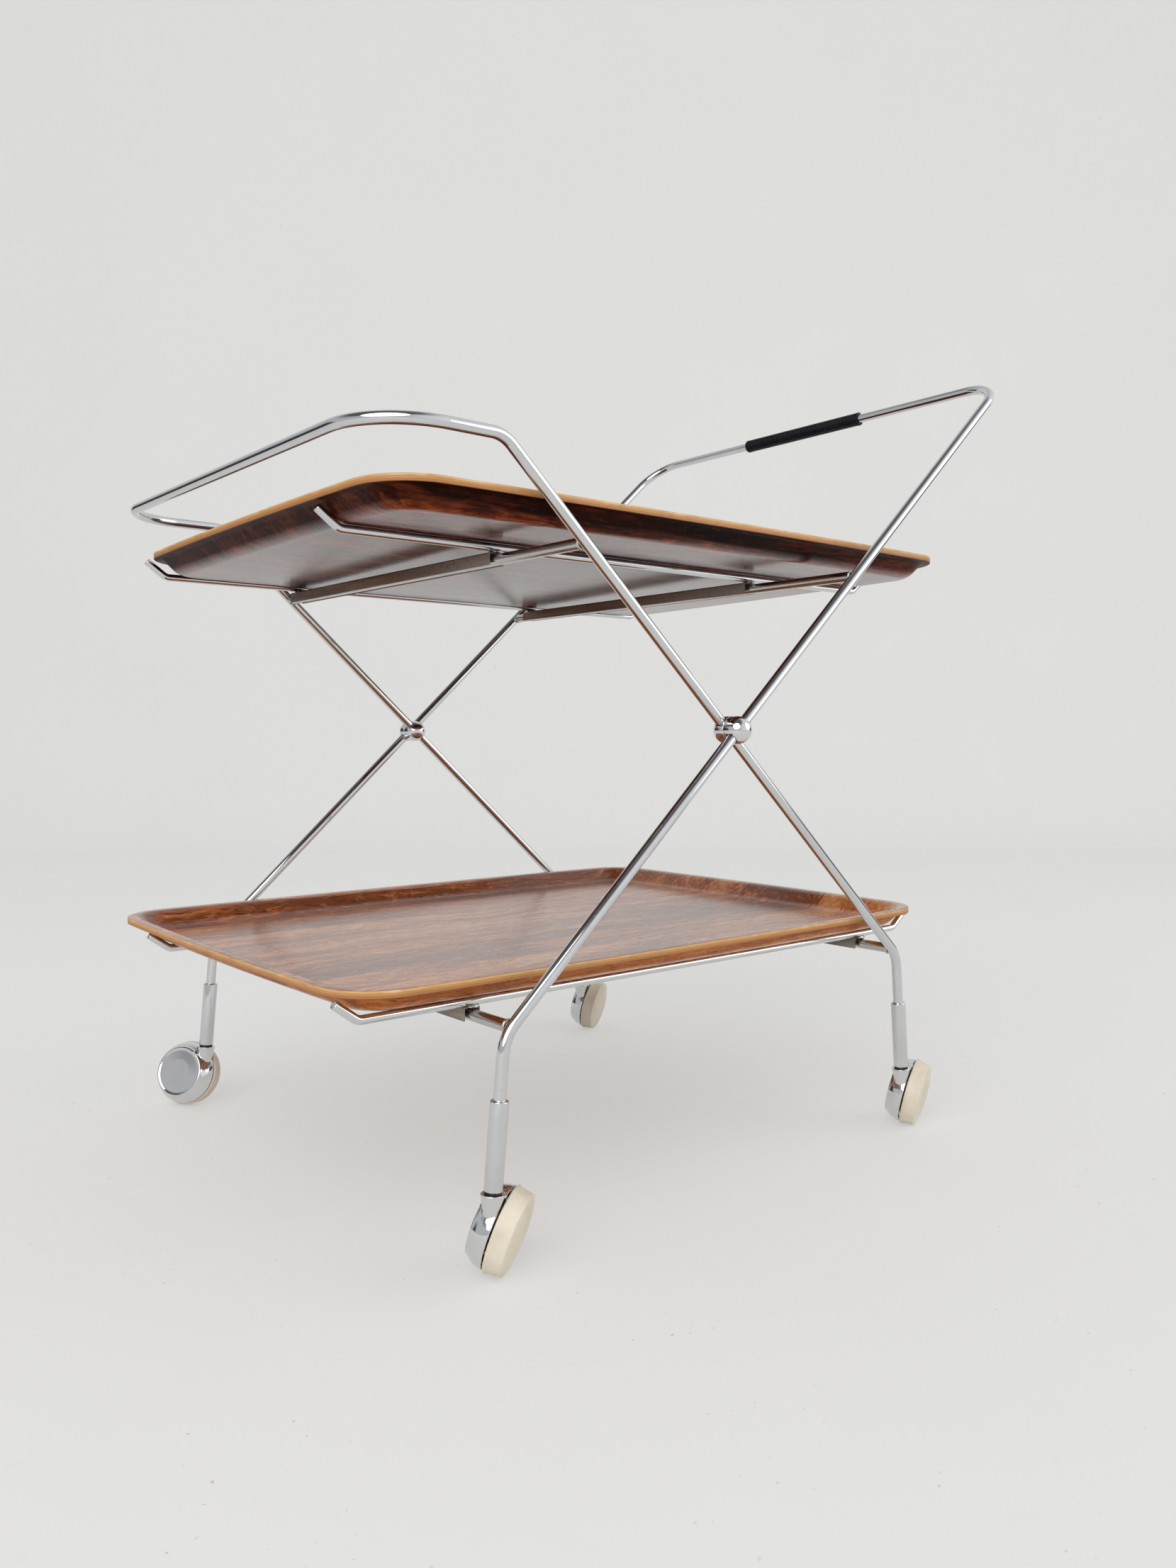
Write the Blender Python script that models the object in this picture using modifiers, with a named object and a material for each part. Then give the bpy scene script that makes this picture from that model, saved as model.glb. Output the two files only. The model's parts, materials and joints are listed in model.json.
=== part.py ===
"""Folding serving cart: two crossed chrome rod frames, wire carriers, moulded veneer trays and four casters.

The cart stands with its length along X, its push handle at +X and its casters on the floor at z = 0.
All sizes are in metres and are worked out from the driving dimensions below.
"""
import math

import bmesh
import bpy
from mathutils import Matrix, Vector

for old in list(bpy.data.objects):
    bpy.data.objects.remove(old, do_unlink=True)

MM = 0.001

# Clearances
GAP = 0.3 * MM
CUT_OVERRUN = 2.0 * MM

# Trays
TRAY_HALF_LENGTH = 284.0 * MM
TRAY_HALF_WIDTH = 208.0 * MM
TRAY_DEPTH = 17.2 * MM
TRAY_PLY = 4.8 * MM
TRAY_CORNER_RADIUS = 42.0 * MM
TRAY_SIDE_BOW = 3.0 * MM
TRAY_WALL_ANGLE = math.radians(45.0)
TRAY_FLOOR_FILLET = 16.0 * MM
TRAY_LIP_FILLET = 5.0 * MM
TRAY_LIP_WIDTH = 5.0 * MM
UPPER_TRAY_CENTRE_X = 8.0 * MM
LOWER_TRAY_CENTRE_X = -18.0 * MM

# Rod frames
ROD_RADIUS = 4.0 * MM
PIVOT_HEIGHT = 337.5 * MM
ARM_ANGLE = math.radians(42.35)
LEG_SPLAY = math.radians(5.3)
ROD_PITCH_Y = 10.5 * MM
TRAY_SIDE_GAP = 1.5 * MM
INNER_ROD_Y = TRAY_HALF_WIDTH + TRAY_SIDE_GAP + ROD_RADIUS
OUTER_ROD_Y = INNER_ROD_Y + ROD_PITCH_Y
FOOT_BEND_SHARE = 0.6074
FOOT_BEND_X = PIVOT_HEIGHT * FOOT_BEND_SHARE
FOOT_BEND_RADIUS = 28.0 * MM
HANDLE_X = 337.5 * MM
HANDLE_CORNER_RADIUS = 36.0 * MM
LOOP_BEND_X = 196.5 * MM
LOOP_BEND_RADIUS = 22.0 * MM
LOOP_REACH = 90.0 * MM
LOOP_CORNER_RADIUS = 50.0 * MM
LOWER_CROSS_INSET = 5.5 * MM
LOWER_CROSS_X = FOOT_BEND_X - LOWER_CROSS_INSET
UPPER_CROSS_X = 132.0 * MM

# Pivot balls
BALL_RADIUS = 10.0 * MM
PIN_RADIUS = 2.0 * MM
PIN_SEAT_DEPTH = 6.0 * MM

# Grip on the handle bar
GRIP_LENGTH = 147.0 * MM
GRIP_RADIUS = 6.25 * MM
GRIP_RIB_DEPTH = 0.7 * MM
GRIP_RIBS = 32
GRIP_CENTRE_Y = 4.0 * MM

# Wire carriers
CHANNEL_WIDTH = 12.5 * MM
CHANNEL_HEIGHT = 9.0 * MM
CHANNEL_WALL = 1.0 * MM
CHANNEL_NEAR_OVERHANG = 0.5 * MM
CHANNEL_FAR_OVERHANG = 8.0 * MM
HOOK_OFFSET = 1.0 * MM
RAIL_RADIUS = 3.0 * MM
RAIL_INSET_Y = 54.5 * MM
RAIL_HALF_SPREAD = TRAY_HALF_WIDTH - RAIL_INSET_Y
RAIL_BEND_INSET = 21.3 * MM
RAIL_BEND_X = TRAY_HALF_LENGTH - RAIL_BEND_INSET
RAIL_HOOK_RUN = 16.0 * MM
RAIL_HOOK_RISE = 12.0 * MM
RAIL_BEND_RADIUS = 9.0 * MM
UPPER_CARRIER_Y = 40.0 * MM
LOWER_CARRIER_Y = -27.0 * MM

# Leg sleeves and casters
SLEEVE_RADIUS = 6.0 * MM
SLEEVE_LENGTH = 54.8 * MM
SLEEVE_CHAMFER_HEIGHT = 3.0 * MM
SLEEVE_CHAMFER_WIDTH = 1.0 * MM
LEG_INSERTION = 27.0 * MM
STEM_INSERTION = 24.0 * MM
WASHER_THICKNESS = 0.8 * MM
WASHER_RADIUS = 5.6 * MM
WHEEL_TRAIL = 18.0 * MM
WHEEL_SIDE_OFFSET = 7.5 * MM
WHEEL_TILT = math.radians(15.0)
WHEEL_RADIUS = 28.0 * MM
WHEEL_CENTRE_DROP = 29.8 * MM
WHEEL_WIDTH = 12.0 * MM
WHEEL_TREAD_CONE = math.radians(9.0)
WHEEL_CROWN = 3.0 * MM
WHEEL_CROWN_FLAT_RADIUS = 15.0 * MM
WHEEL_EDGE_ROUND = 1.0 * MM
AXLE_RADIUS = 2.5 * MM
AXLE_BORE_DEPTH = 9.0 * MM
HOOD_GAP = 1.0 * MM
HOOD_DEPTH = 13.0 * MM
HOOD_RIM_RADIUS = 27.0 * MM
HOOD_FACE_RADIUS = 21.5 * MM
HOOD_BEAD_RADIUS = 1.6 * MM
HOOD_WALL = 1.4 * MM
BOSS_TOP_RADIUS = 8.0 * MM
BOSS_BOTTOM_RADIUS = 3.5 * MM
BOSS_HEIGHT = 22.0 * MM
STEM_SEAT_DEPTH = 7.0 * MM

# Facet counts
ROD_RESOLUTION = 3
ROD_SIDES = 20
TURN_STEPS = 36
SMALL_TURN_STEPS = 20
GRIP_STEPS = 14
ARC_STEP = math.radians(11.0)
TRAY_CORNER_STEPS = 6
TRAY_SIDE_STEPS = 4

# Swivel headings, measured from +X towards +Y, as the photograph shows the casters parked
HEADINGS = {
    ("a", "near"): math.radians(38.0),
    ("a", "far"): math.radians(123.0),
    ("b", "near"): math.radians(24.0),
    ("b", "far"): math.radians(31.0),
}

parts = bpy.data.collections.new("serving_cart")
cutters = bpy.data.collections.new("cutters")
bpy.context.scene.collection.children.link(parts)
bpy.context.scene.collection.children.link(cutters)


def material(name, colour, roughness, metallic):
    """A Principled material in one colour."""
    made = bpy.data.materials.new(name)
    made.use_nodes = True
    shader = made.node_tree.nodes["Principled BSDF"]
    shader.inputs["Base Color"].default_value = (*colour, 1.0)
    shader.inputs["Roughness"].default_value = roughness
    shader.inputs["Metallic"].default_value = metallic
    return made


CHROME = material("chrome", (0.62, 0.63, 0.64), 0.16, 1.0)
ZINC = material("zinc_steel", (0.42, 0.40, 0.37), 0.48, 1.0)
VENEER = material("rosewood_veneer", (0.20, 0.072, 0.038), 0.34, 0.0)
RUBBER = material("black_rubber", (0.012, 0.013, 0.017), 0.55, 0.0)
IVORY = material("ivory_plastic", (0.78, 0.69, 0.53), 0.45, 0.0)
STEEL = material("dark_steel", (0.09, 0.085, 0.08), 0.5, 1.0)


def empty(name, parent, matrix):
    """A joint or group marker, placed by a matrix in its parent's frame."""
    marker = bpy.data.objects.new(name, None)
    parts.objects.link(marker)
    marker.parent = parent
    marker.matrix_local = matrix
    return marker


def place(obj, parent, matrix, mat, collection=parts):
    """Put an object in a collection, a parent's frame and a material."""
    for held in list(obj.users_collection):
        held.objects.unlink(obj)
    collection.objects.link(obj)
    obj.parent = parent
    obj.matrix_local = matrix
    if mat is not None:
        obj.data.materials.clear()
        obj.data.materials.append(mat)
    return obj


def spin_matrix(angle, axis):
    return Matrix.Rotation(angle, 4, axis)


def cylinder(name, radius, depth, parent, matrix, mat, steps=ROD_SIDES, collection=parts):
    """A straight cylinder centred on its own origin, along local Z."""
    bpy.ops.mesh.primitive_cylinder_add(vertices=steps, radius=radius, depth=depth)
    obj = bpy.context.object
    obj.name = name
    if mat is not None:
        obj.data.shade_smooth()
        obj.data.set_sharp_from_angle(angle=math.radians(40.0))
    return place(obj, parent, matrix, mat, collection)


def box(name, size, parent, matrix, mat, collection=parts):
    """A box centred on its own origin."""
    bpy.ops.mesh.primitive_cube_add(size=1.0)
    obj = bpy.context.object
    obj.name = name
    obj.data.transform(Matrix.Diagonal((*size, 1.0)))
    return place(obj, parent, matrix, mat, collection)


def cut(target, cutter):
    """Subtract one object from another with a Boolean modifier."""
    cutter.hide_render = True
    cutter.display_type = "WIRE"
    boolean = target.modifiers.new("cut_" + cutter.name, "BOOLEAN")
    boolean.operation = "DIFFERENCE"
    boolean.object = cutter


def join(target, addition):
    """Add one object to another with a Boolean union."""
    addition.hide_render = True
    addition.display_type = "WIRE"
    boolean = target.modifiers.new("join_" + addition.name, "BOOLEAN")
    boolean.operation = "UNION"
    boolean.object = addition


def turned(name, profile, parent, matrix, mat, steps=TURN_STEPS, closed=False, collection=parts):
    """A turned shape: profile points (radius, height) run down the outer side, round local Z."""
    mesh = bpy.data.meshes.new(name)
    points = [(radius, 0.0, height) for radius, height in profile]
    edges = [(i, i + 1) for i in range(len(points) - 1)]
    if closed:
        edges.append((len(points) - 1, 0))
    mesh.from_pydata(points, edges, [])
    obj = bpy.data.objects.new(name, mesh)
    screw = obj.modifiers.new("turn", "SCREW")
    screw.axis = "Z"
    screw.angle = math.tau
    screw.steps = steps
    screw.render_steps = steps
    screw.use_merge_vertices = True
    screw.merge_threshold = 0.01 * MM
    screw.use_smooth_shade = True
    return place(obj, parent, matrix, mat, collection)


def arc_points(centre, radius, start, end, count):
    """Points (radius, height) on an arc, both ends included."""
    step = (end - start) / count
    return [
        (centre[0] + radius * math.cos(start + i * step), centre[1] + radius * math.sin(start + i * step))
        for i in range(count + 1)
    ]


def rounded_path(corners, radii):
    """A route through corner points with each inner corner rounded to its own bend radius."""
    path = [corners[0]]
    for before, corner, after, radius in zip(corners, corners[1:], corners[2:], radii):
        back = (before - corner).normalized()
        ahead = (after - corner).normalized()
        turn = math.pi - back.angle(ahead)
        reach = radius * math.tan(turn / 2)
        centre = corner + (back + ahead).normalized() * (radius / math.cos(turn / 2))
        first = corner + back * reach - centre
        axis = (-back).cross(ahead).normalized()
        count = max(2, math.ceil(turn / ARC_STEP))
        for i in range(count + 1):
            path.append(centre + Matrix.Rotation(turn * i / count, 3, axis) @ first)
    path.append(corners[-1])
    return path


def wire(name, path, radius, parent, mat):
    """A bent rod or wire: a bevelled curve with filled ends."""
    curve = bpy.data.curves.new(name, "CURVE")
    curve.dimensions = "3D"
    curve.bevel_depth = radius
    curve.bevel_resolution = ROD_RESOLUTION
    curve.use_fill_caps = True
    spline = curve.splines.new("POLY")
    spline.points.add(len(path) - 1)
    for point, where in zip(spline.points, path):
        point.co = (*where, 1.0)
    obj = bpy.data.objects.new(name, curve)
    return place(obj, parent, Matrix.Identity(4), mat)


def curve_to_mesh(obj):
    """Make a bevelled curve a welded mesh, so that it can be cut."""
    bpy.context.view_layer.update()
    evaluated = obj.evaluated_get(bpy.context.evaluated_depsgraph_get())
    mesh = bpy.data.meshes.new_from_object(evaluated)
    shape = bmesh.new()
    shape.from_mesh(mesh)
    bmesh.ops.remove_doubles(shape, verts=shape.verts, dist=0.01 * MM)
    bmesh.ops.recalc_face_normals(shape, faces=shape.faces)
    shape.to_mesh(mesh)
    shape.free()
    name, parent, local = obj.name, obj.parent, obj.matrix_local.copy()
    bpy.data.objects.remove(obj, do_unlink=True)
    solid = bpy.data.objects.new(name, mesh)
    mesh.shade_smooth()
    mesh.set_sharp_from_angle(angle=math.radians(40.0))
    return place(solid, parent, local, None)


SIDES = {"near": -1.0, "far": 1.0}
FRAMES = {"a": {"side_y": OUTER_ROD_Y, "foot_sign": -1.0}, "b": {"side_y": INNER_ROD_Y, "foot_sign": 1.0}}
ARM_SLOPE = math.tan(ARM_ANGLE)
LOWER_CROSS_Z = PIVOT_HEIGHT - LOWER_CROSS_X * ARM_SLOPE
UPPER_CROSS_Z = PIVOT_HEIGHT + UPPER_CROSS_X * ARM_SLOPE
SEAM_Y = (OUTER_ROD_Y + INNER_ROD_Y) / 2
BORE_RADIUS = ROD_RADIUS + GAP
PIN_BORE_RADIUS = PIN_RADIUS + GAP

cart = empty("cart_root", None, Matrix.Identity(4))
frame_a = empty("frame_a_origin", cart, Matrix.Translation((0, 0, PIVOT_HEIGHT)))
frame_b = empty("frame_b_hinge", cart, Matrix.Translation((0, 0, PIVOT_HEIGHT)))
origins = {"a": frame_a, "b": frame_b}


def bend_point(frame):
    """Where a frame's arm line meets its leg line, seen from the pivot."""
    sign = FRAMES[frame]["foot_sign"]
    return Vector((sign * FOOT_BEND_X, 0, -FOOT_BEND_X * ARM_SLOPE))


def leg_up(frame):
    """The unit direction up a frame's leg."""
    sign = FRAMES[frame]["foot_sign"]
    return Vector((-sign * math.sin(LEG_SPLAY), 0, math.cos(LEG_SPLAY)))


def wheel_profile():
    """The wheel's section, from the crown's centre down round the tread to the bottom of the axle bore."""
    half = WHEEL_WIDTH / 2
    outer = WHEEL_RADIUS - WHEEL_WIDTH * math.tan(WHEEL_TREAD_CONE)
    shade = WHEEL_EDGE_ROUND
    bore = AXLE_RADIUS + GAP
    return [
        (0, half + WHEEL_CROWN),
        (WHEEL_CROWN_FLAT_RADIUS, half + WHEEL_CROWN * 0.8),
        (outer - shade, half + shade / 2),
        (outer, half - shade / 2),
        (WHEEL_RADIUS, -half + shade),
        (WHEEL_RADIUS - shade, -half),
        (bore, -half),
        (bore, -half + AXLE_BORE_DEPTH),
        (0, -half + AXLE_BORE_DEPTH),
    ]


WHEEL_LOCAL = Matrix.Translation((WHEEL_TRAIL, -WHEEL_SIDE_OFFSET, -WHEEL_CENTRE_DROP)) @ spin_matrix(
    math.pi / 2 + WHEEL_TILT, "X"
)


def foot_matrix(frame, side, distance):
    """The frame on a leg's axis at the sleeve's lower end, its Z up the leg, seen from the pivot."""
    where = bend_point(frame) - leg_up(frame) * distance
    where.y = SIDES[side] * FRAMES[frame]["side_y"]
    tilt = -FRAMES[frame]["foot_sign"] * LEG_SPLAY
    return Matrix.Translation(where) @ spin_matrix(tilt, "Y")


def foot_distance(frame, side):
    """How far down the leg the sleeve ends, so that this caster's wheel just meets the floor."""
    heading = spin_matrix(HEADINGS[(frame, side)], "Z")
    matrix = foot_matrix(frame, side, 0) @ heading @ WHEEL_LOCAL
    lowest = min(
        (matrix @ Vector((radius * math.cos(turn), radius * math.sin(turn), height))).z
        for radius, height in wheel_profile()
        for turn in (math.tau * i / TURN_STEPS for i in range(TURN_STEPS))
    )
    return (PIVOT_HEIGHT + lowest) / math.cos(LEG_SPLAY)


FOOT_DISTANCE = {key: foot_distance(*key) for key in HEADINGS}


def rod_foot(frame, side):
    """The lower end of a leg's rod, inside its sleeve."""
    distance = FOOT_DISTANCE[(frame, side)] - SLEEVE_LENGTH + LEG_INSERTION
    where = bend_point(frame) - leg_up(frame) * distance
    where.y = SIDES[side] * FRAMES[frame]["side_y"]
    return where


def frame_a_rod():
    """The outer frame: one rod from foot to foot, over the push handle."""
    route = [rod_foot("a", "near")]
    radii = []
    for side in ("near", "far"):
        bend = bend_point("a")
        top = Vector((HANDLE_X, 0, HANDLE_X * ARM_SLOPE))
        pair = [(bend, FOOT_BEND_RADIUS), (top, HANDLE_CORNER_RADIUS)]
        for point, radius in pair if side == "near" else reversed(pair):
            route.append(Vector((point.x, SIDES[side] * OUTER_ROD_Y, point.z)))
            radii.append(radius)
    route.append(rod_foot("a", "far"))
    return wire("frame_a_rod", rounded_path(route, radii), ROD_RADIUS, frame_a, CHROME)


def frame_b_rod():
    """The inner frame: one rod from foot to foot, round the flat loop above the upper tray."""
    route = [rod_foot("b", "near")]
    radii = []
    for side in ("near", "far"):
        bend = bend_point("b")
        top = Vector((-LOOP_BEND_X, 0, LOOP_BEND_X * ARM_SLOPE))
        end = top - Vector((LOOP_REACH, 0, 0))
        trio = [(bend, FOOT_BEND_RADIUS), (top, LOOP_BEND_RADIUS), (end, LOOP_CORNER_RADIUS)]
        for point, radius in trio if side == "near" else reversed(trio):
            route.append(Vector((point.x, SIDES[side] * INNER_ROD_Y, point.z)))
            radii.append(radius)
    route.append(rod_foot("b", "far"))
    return wire("frame_b_rod", rounded_path(route, radii), ROD_RADIUS, frame_b, CHROME)


def along_y(x, y, z):
    """A matrix that lays local Z along world Y at a point."""
    return Matrix.Translation((x, y, z)) @ spin_matrix(-math.pi / 2, "X")


def cross_rods():
    """Four straight rods that tie each frame's sides together."""
    places = {
        "a": {"top": (UPPER_CROSS_X, UPPER_CROSS_Z), "bottom": (-LOWER_CROSS_X, LOWER_CROSS_Z)},
        "b": {"top": (-UPPER_CROSS_X, UPPER_CROSS_Z), "bottom": (LOWER_CROSS_X, LOWER_CROSS_Z)},
    }
    for frame, rods in places.items():
        length = 2 * (FRAMES[frame]["side_y"] - ROD_RADIUS - GAP)
        for level, (x, z) in rods.items():
            matrix = along_y(x, 0, z - PIVOT_HEIGHT)
            cylinder(f"cross_rod_{frame}_{level}", ROD_RADIUS, length, origins[frame], matrix, CHROME)


def pivots(rods):
    """The ball joints: each half ball is drilled for its own rod, and a pin joins the pair."""
    arm = {"a": -ARM_ANGLE, "b": ARM_ANGLE}
    for side, sign in SIDES.items():
        for frame, outward in (("a", sign), ("b", -sign)):
            rod_y = FRAMES[frame]["side_y"]
            neck = ROD_PITCH_Y / 2 - GAP / 2
            dome = arc_points((0, neck), BALL_RADIUS, math.pi / 2, 0, 6)
            dome[0] = (0, neck + BALL_RADIUS)
            facing = Matrix.Translation((0, sign * SEAM_Y + outward * GAP / 2, 0)) @ spin_matrix(
                -outward * math.pi / 2, "X"
            )
            name = f"ball_{'outer' if frame == 'a' else 'inner'}_{side}"
            ball = turned(name, dome + [(BALL_RADIUS, 0), (0, 0)], origins[frame], facing, CHROME,
                          SMALL_TURN_STEPS)
            along_arm = Matrix.Translation((0, sign * rod_y, 0)) @ spin_matrix(
                math.pi / 2 + arm[frame], "Y"
            )
            drill = cylinder(f"drill_{name}", BORE_RADIUS, 2 * (BALL_RADIUS + CUT_OVERRUN), origins[frame],
                             along_arm, None, collection=cutters)
            cut(ball, drill)
            start = sign * SEAM_Y - outward * CUT_OVERRUN
            stop = sign * rod_y + outward * PIN_SEAT_DEPTH
            seat = cylinder(f"pin_seat_{name}", PIN_BORE_RADIUS, abs(stop - start), origins[frame],
                            along_y(0, (start + stop) / 2, 0), None, collection=cutters)
            cut(ball, seat)
            hole = cylinder(f"pin_hole_{frame}_{side}", PIN_BORE_RADIUS, 2 * (ROD_RADIUS + CUT_OVERRUN),
                            origins[frame], along_y(0, sign * rod_y, 0), None, collection=cutters)
            cut(rods[frame], hole)
        pin_length = ROD_PITCH_Y + 2 * (PIN_SEAT_DEPTH - GAP)
        cylinder(f"pivot_pin_{side}", PIN_RADIUS, pin_length, frame_a, along_y(0, sign * SEAM_Y, 0), STEEL)


def handle_grip():
    """The ribbed grip, a sleeve pushed over the handle bar."""
    root = GRIP_RADIUS - GRIP_RIB_DEPTH
    pitch = GRIP_LENGTH / GRIP_RIBS
    crest_share = 0.5
    profile = [(root, GRIP_LENGTH / 2)]
    for i in range(GRIP_RIBS):
        profile.append((GRIP_RADIUS, GRIP_LENGTH / 2 - (i + crest_share) * pitch))
        profile.append((root, GRIP_LENGTH / 2 - (i + 1) * pitch))
    profile += [(BORE_RADIUS, -GRIP_LENGTH / 2), (BORE_RADIUS, GRIP_LENGTH / 2)]
    matrix = along_y(HANDLE_X, GRIP_CENTRE_Y, HANDLE_X * ARM_SLOPE)
    turned("handle_grip", profile, frame_a, matrix, RUBBER, GRIP_STEPS, closed=True)


def channel(name, parent, x, y):
    """A folded strip, open below, that lies over a cross rod at x; y is the middle between the rails."""
    length = 2 * RAIL_HALF_SPREAD + CHANNEL_NEAR_OVERHANG + CHANNEL_FAR_OVERHANG
    y += (CHANNEL_FAR_OVERHANG - CHANNEL_NEAR_OVERHANG) / 2
    top = ROD_RADIUS + GAP + CHANNEL_WALL
    body = box(name, (CHANNEL_WIDTH, length, CHANNEL_HEIGHT), parent,
               Matrix.Translation((x, y, top - CHANNEL_HEIGHT / 2)), ZINC)
    inner = (CHANNEL_WIDTH - 2 * CHANNEL_WALL, length + 2 * CUT_OVERRUN, CHANNEL_HEIGHT)
    hollow = box(f"hollow_{name}", inner, parent,
                 Matrix.Translation((x, y, top - CHANNEL_WALL - CHANNEL_HEIGHT / 2)), None, cutters)
    cut(body, hollow)
    return top


def rail(name, parent, x, y, z):
    """A long wire, turned up at both ends, that a tray lies on."""
    tip = RAIL_BEND_X + RAIL_HOOK_RUN
    route = [
        Vector((x - tip, y, z + RAIL_HOOK_RISE)),
        Vector((x - RAIL_BEND_X, y, z)),
        Vector((x + RAIL_BEND_X, y, z)),
        Vector((x + tip, y, z + RAIL_HOOK_RISE)),
    ]
    wire(name, rounded_path(route, [RAIL_BEND_RADIUS, RAIL_BEND_RADIUS]), RAIL_RADIUS, parent, CHROME)


def rounded_outline(half_x, half_y, radius):
    """A closed outline with round corners and sides that bow out a little, counterclockwise."""
    bow = TRAY_SIDE_BOW
    points = []
    quarter = math.pi / 2
    corners = [(1, -1, -quarter), (1, 1, 0), (-1, 1, quarter), (-1, -1, 2 * quarter)]
    for index, (sx, sy, start) in enumerate(corners):
        centre = Vector((sx * (half_x - bow - radius), sy * (half_y - bow - radius)))
        for i in range(TRAY_CORNER_STEPS + 1):
            turn = start + quarter * i / TRAY_CORNER_STEPS
            points.append(centre + radius * Vector((math.cos(turn), math.sin(turn))))
        following = corners[(index + 1) % 4]
        target = Vector((following[0] * (half_x - bow - radius), following[1] * (half_y - bow - radius)))
        turn = start + quarter
        outward = Vector((math.cos(turn), math.sin(turn)))
        for i in range(1, TRAY_SIDE_STEPS):
            share = i / TRAY_SIDE_STEPS
            rise = bow * (1 - (2 * share - 1) ** 2)
            points.append(centre.lerp(target, share) + outward * (radius + rise))
    return points


def tray_stations():
    """The tray's outer section, as (inset from the rim, height above its underside)."""
    fillet, lip = TRAY_FLOOR_FILLET, TRAY_LIP_FILLET
    angle = TRAY_WALL_ANGLE
    rise = TRAY_DEPTH - TRAY_PLY
    lift = (fillet + lip) * (1 - math.cos(angle))
    wall_run = (rise - lift) / math.tan(angle)
    run = (fillet + lip) * math.sin(angle) + wall_run + TRAY_LIP_WIDTH
    stations = []
    for share in (0, 1 / 3, 2 / 3, 1):
        turn = angle * share
        stations.append((run - fillet * math.sin(turn), fillet * (1 - math.cos(turn))))
    for share in (1, 1 / 2, 0):
        turn = angle * share
        stations.append((TRAY_LIP_WIDTH + lip * math.sin(turn), rise - lip * (1 - math.cos(turn))))
    stations.append((0, rise))
    return stations


def tray_lean(carrier_y):
    """How far a tray leans down where its far rail lies under the curve of its wall, not under its flat floor."""
    curve_y = TRAY_HALF_WIDTH - tray_stations()[0][0]
    past_floor = max(0, carrier_y + RAIL_HALF_SPREAD - curve_y)
    reach = TRAY_FLOOR_FILLET + RAIL_RADIUS + GAP
    past_floor = min(past_floor, reach * math.sin(TRAY_WALL_ANGLE))
    drop = reach - math.sqrt(reach * reach - past_floor * past_floor)
    return math.atan(drop / (curve_y - carrier_y + RAIL_HALF_SPREAD))


def tray(name, parent):
    """A moulded ply tray: floor, rising walls and a short flat lip, thickened from its underside."""
    stations = tray_stations()
    shape = bmesh.new()
    inset, height = stations[0]

    def ring(step):
        step_inset, step_height = step
        corner = TRAY_CORNER_RADIUS - step_inset
        outline = rounded_outline(TRAY_HALF_LENGTH - step_inset, TRAY_HALF_WIDTH - step_inset, corner)
        return [Vector((p.x, p.y, step_height)) for p in outline]

    verts = [shape.verts.new(point) for point in ring((inset, height))]
    shape.faces.new(verts)
    for station in stations[1:]:
        edges = [shape.edges.get((a, b)) for a, b in zip(verts, verts[1:] + verts[:1])]
        grown = bmesh.ops.extrude_edge_only(shape, edges=edges)
        fresh = {v for v in grown["geom"] if isinstance(v, bmesh.types.BMVert)}
        follow = []
        for vert in verts:
            follow.append(next(e.other_vert(vert) for e in vert.link_edges if e.other_vert(vert) in fresh))
        for vert, point in zip(follow, ring(station)):
            vert.co = point
        verts = follow
    bmesh.ops.recalc_face_normals(shape, faces=shape.faces)
    shape.faces.ensure_lookup_table()
    if shape.faces[0].normal.z < 0:
        bmesh.ops.reverse_faces(shape, faces=shape.faces)
    mesh = bpy.data.meshes.new(name)
    shape.to_mesh(mesh)
    shape.free()
    mesh.shade_smooth()
    obj = bpy.data.objects.new(name, mesh)
    solid = obj.modifiers.new("ply", "SOLIDIFY")
    solid.thickness = TRAY_PLY
    solid.offset = 1.0
    solid.use_even_offset = True
    return place(obj, parent, Matrix.Identity(4), VENEER)


def carriers():
    """The two carriers with their trays; each hinges on its left-hand cross rod."""
    levels = {
        "upper": ("b", UPPER_CROSS_X, UPPER_CROSS_Z, UPPER_CARRIER_Y, UPPER_TRAY_CENTRE_X),
        "lower": ("a", LOWER_CROSS_X, LOWER_CROSS_Z, LOWER_CARRIER_Y, LOWER_TRAY_CENTRE_X),
    }
    for level, (frame, rod_x, rod_z, carrier_y, tray_x) in levels.items():
        where = Matrix.Translation((-rod_x, 0, rod_z - PIVOT_HEIGHT))
        hinge = empty(f"{level}_carrier_hinge", origins[frame], where)
        top = channel(f"{level}_channel_left", hinge, 0, carrier_y)
        channel(f"{level}_channel_right", hinge, 2 * rod_x - HOOK_OFFSET, carrier_y)
        wire_z = top + GAP + RAIL_RADIUS
        for side, sign in SIDES.items():
            rail(f"{level}_rail_{side}", hinge, tray_x + rod_x, carrier_y + sign * RAIL_HALF_SPREAD, wire_z)
        tray_z = wire_z + RAIL_RADIUS + GAP
        near_rail_y = carrier_y - RAIL_HALF_SPREAD
        lean = spin_matrix(-tray_lean(carrier_y), "X")
        seat = Matrix.Translation((tray_x + rod_x, near_rail_y, tray_z)) @ lean
        lift = empty(f"{level}_tray_lift", hinge, seat @ Matrix.Translation((0, -near_rail_y, 0)))
        tray(f"{level}_tray", lift)


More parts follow.
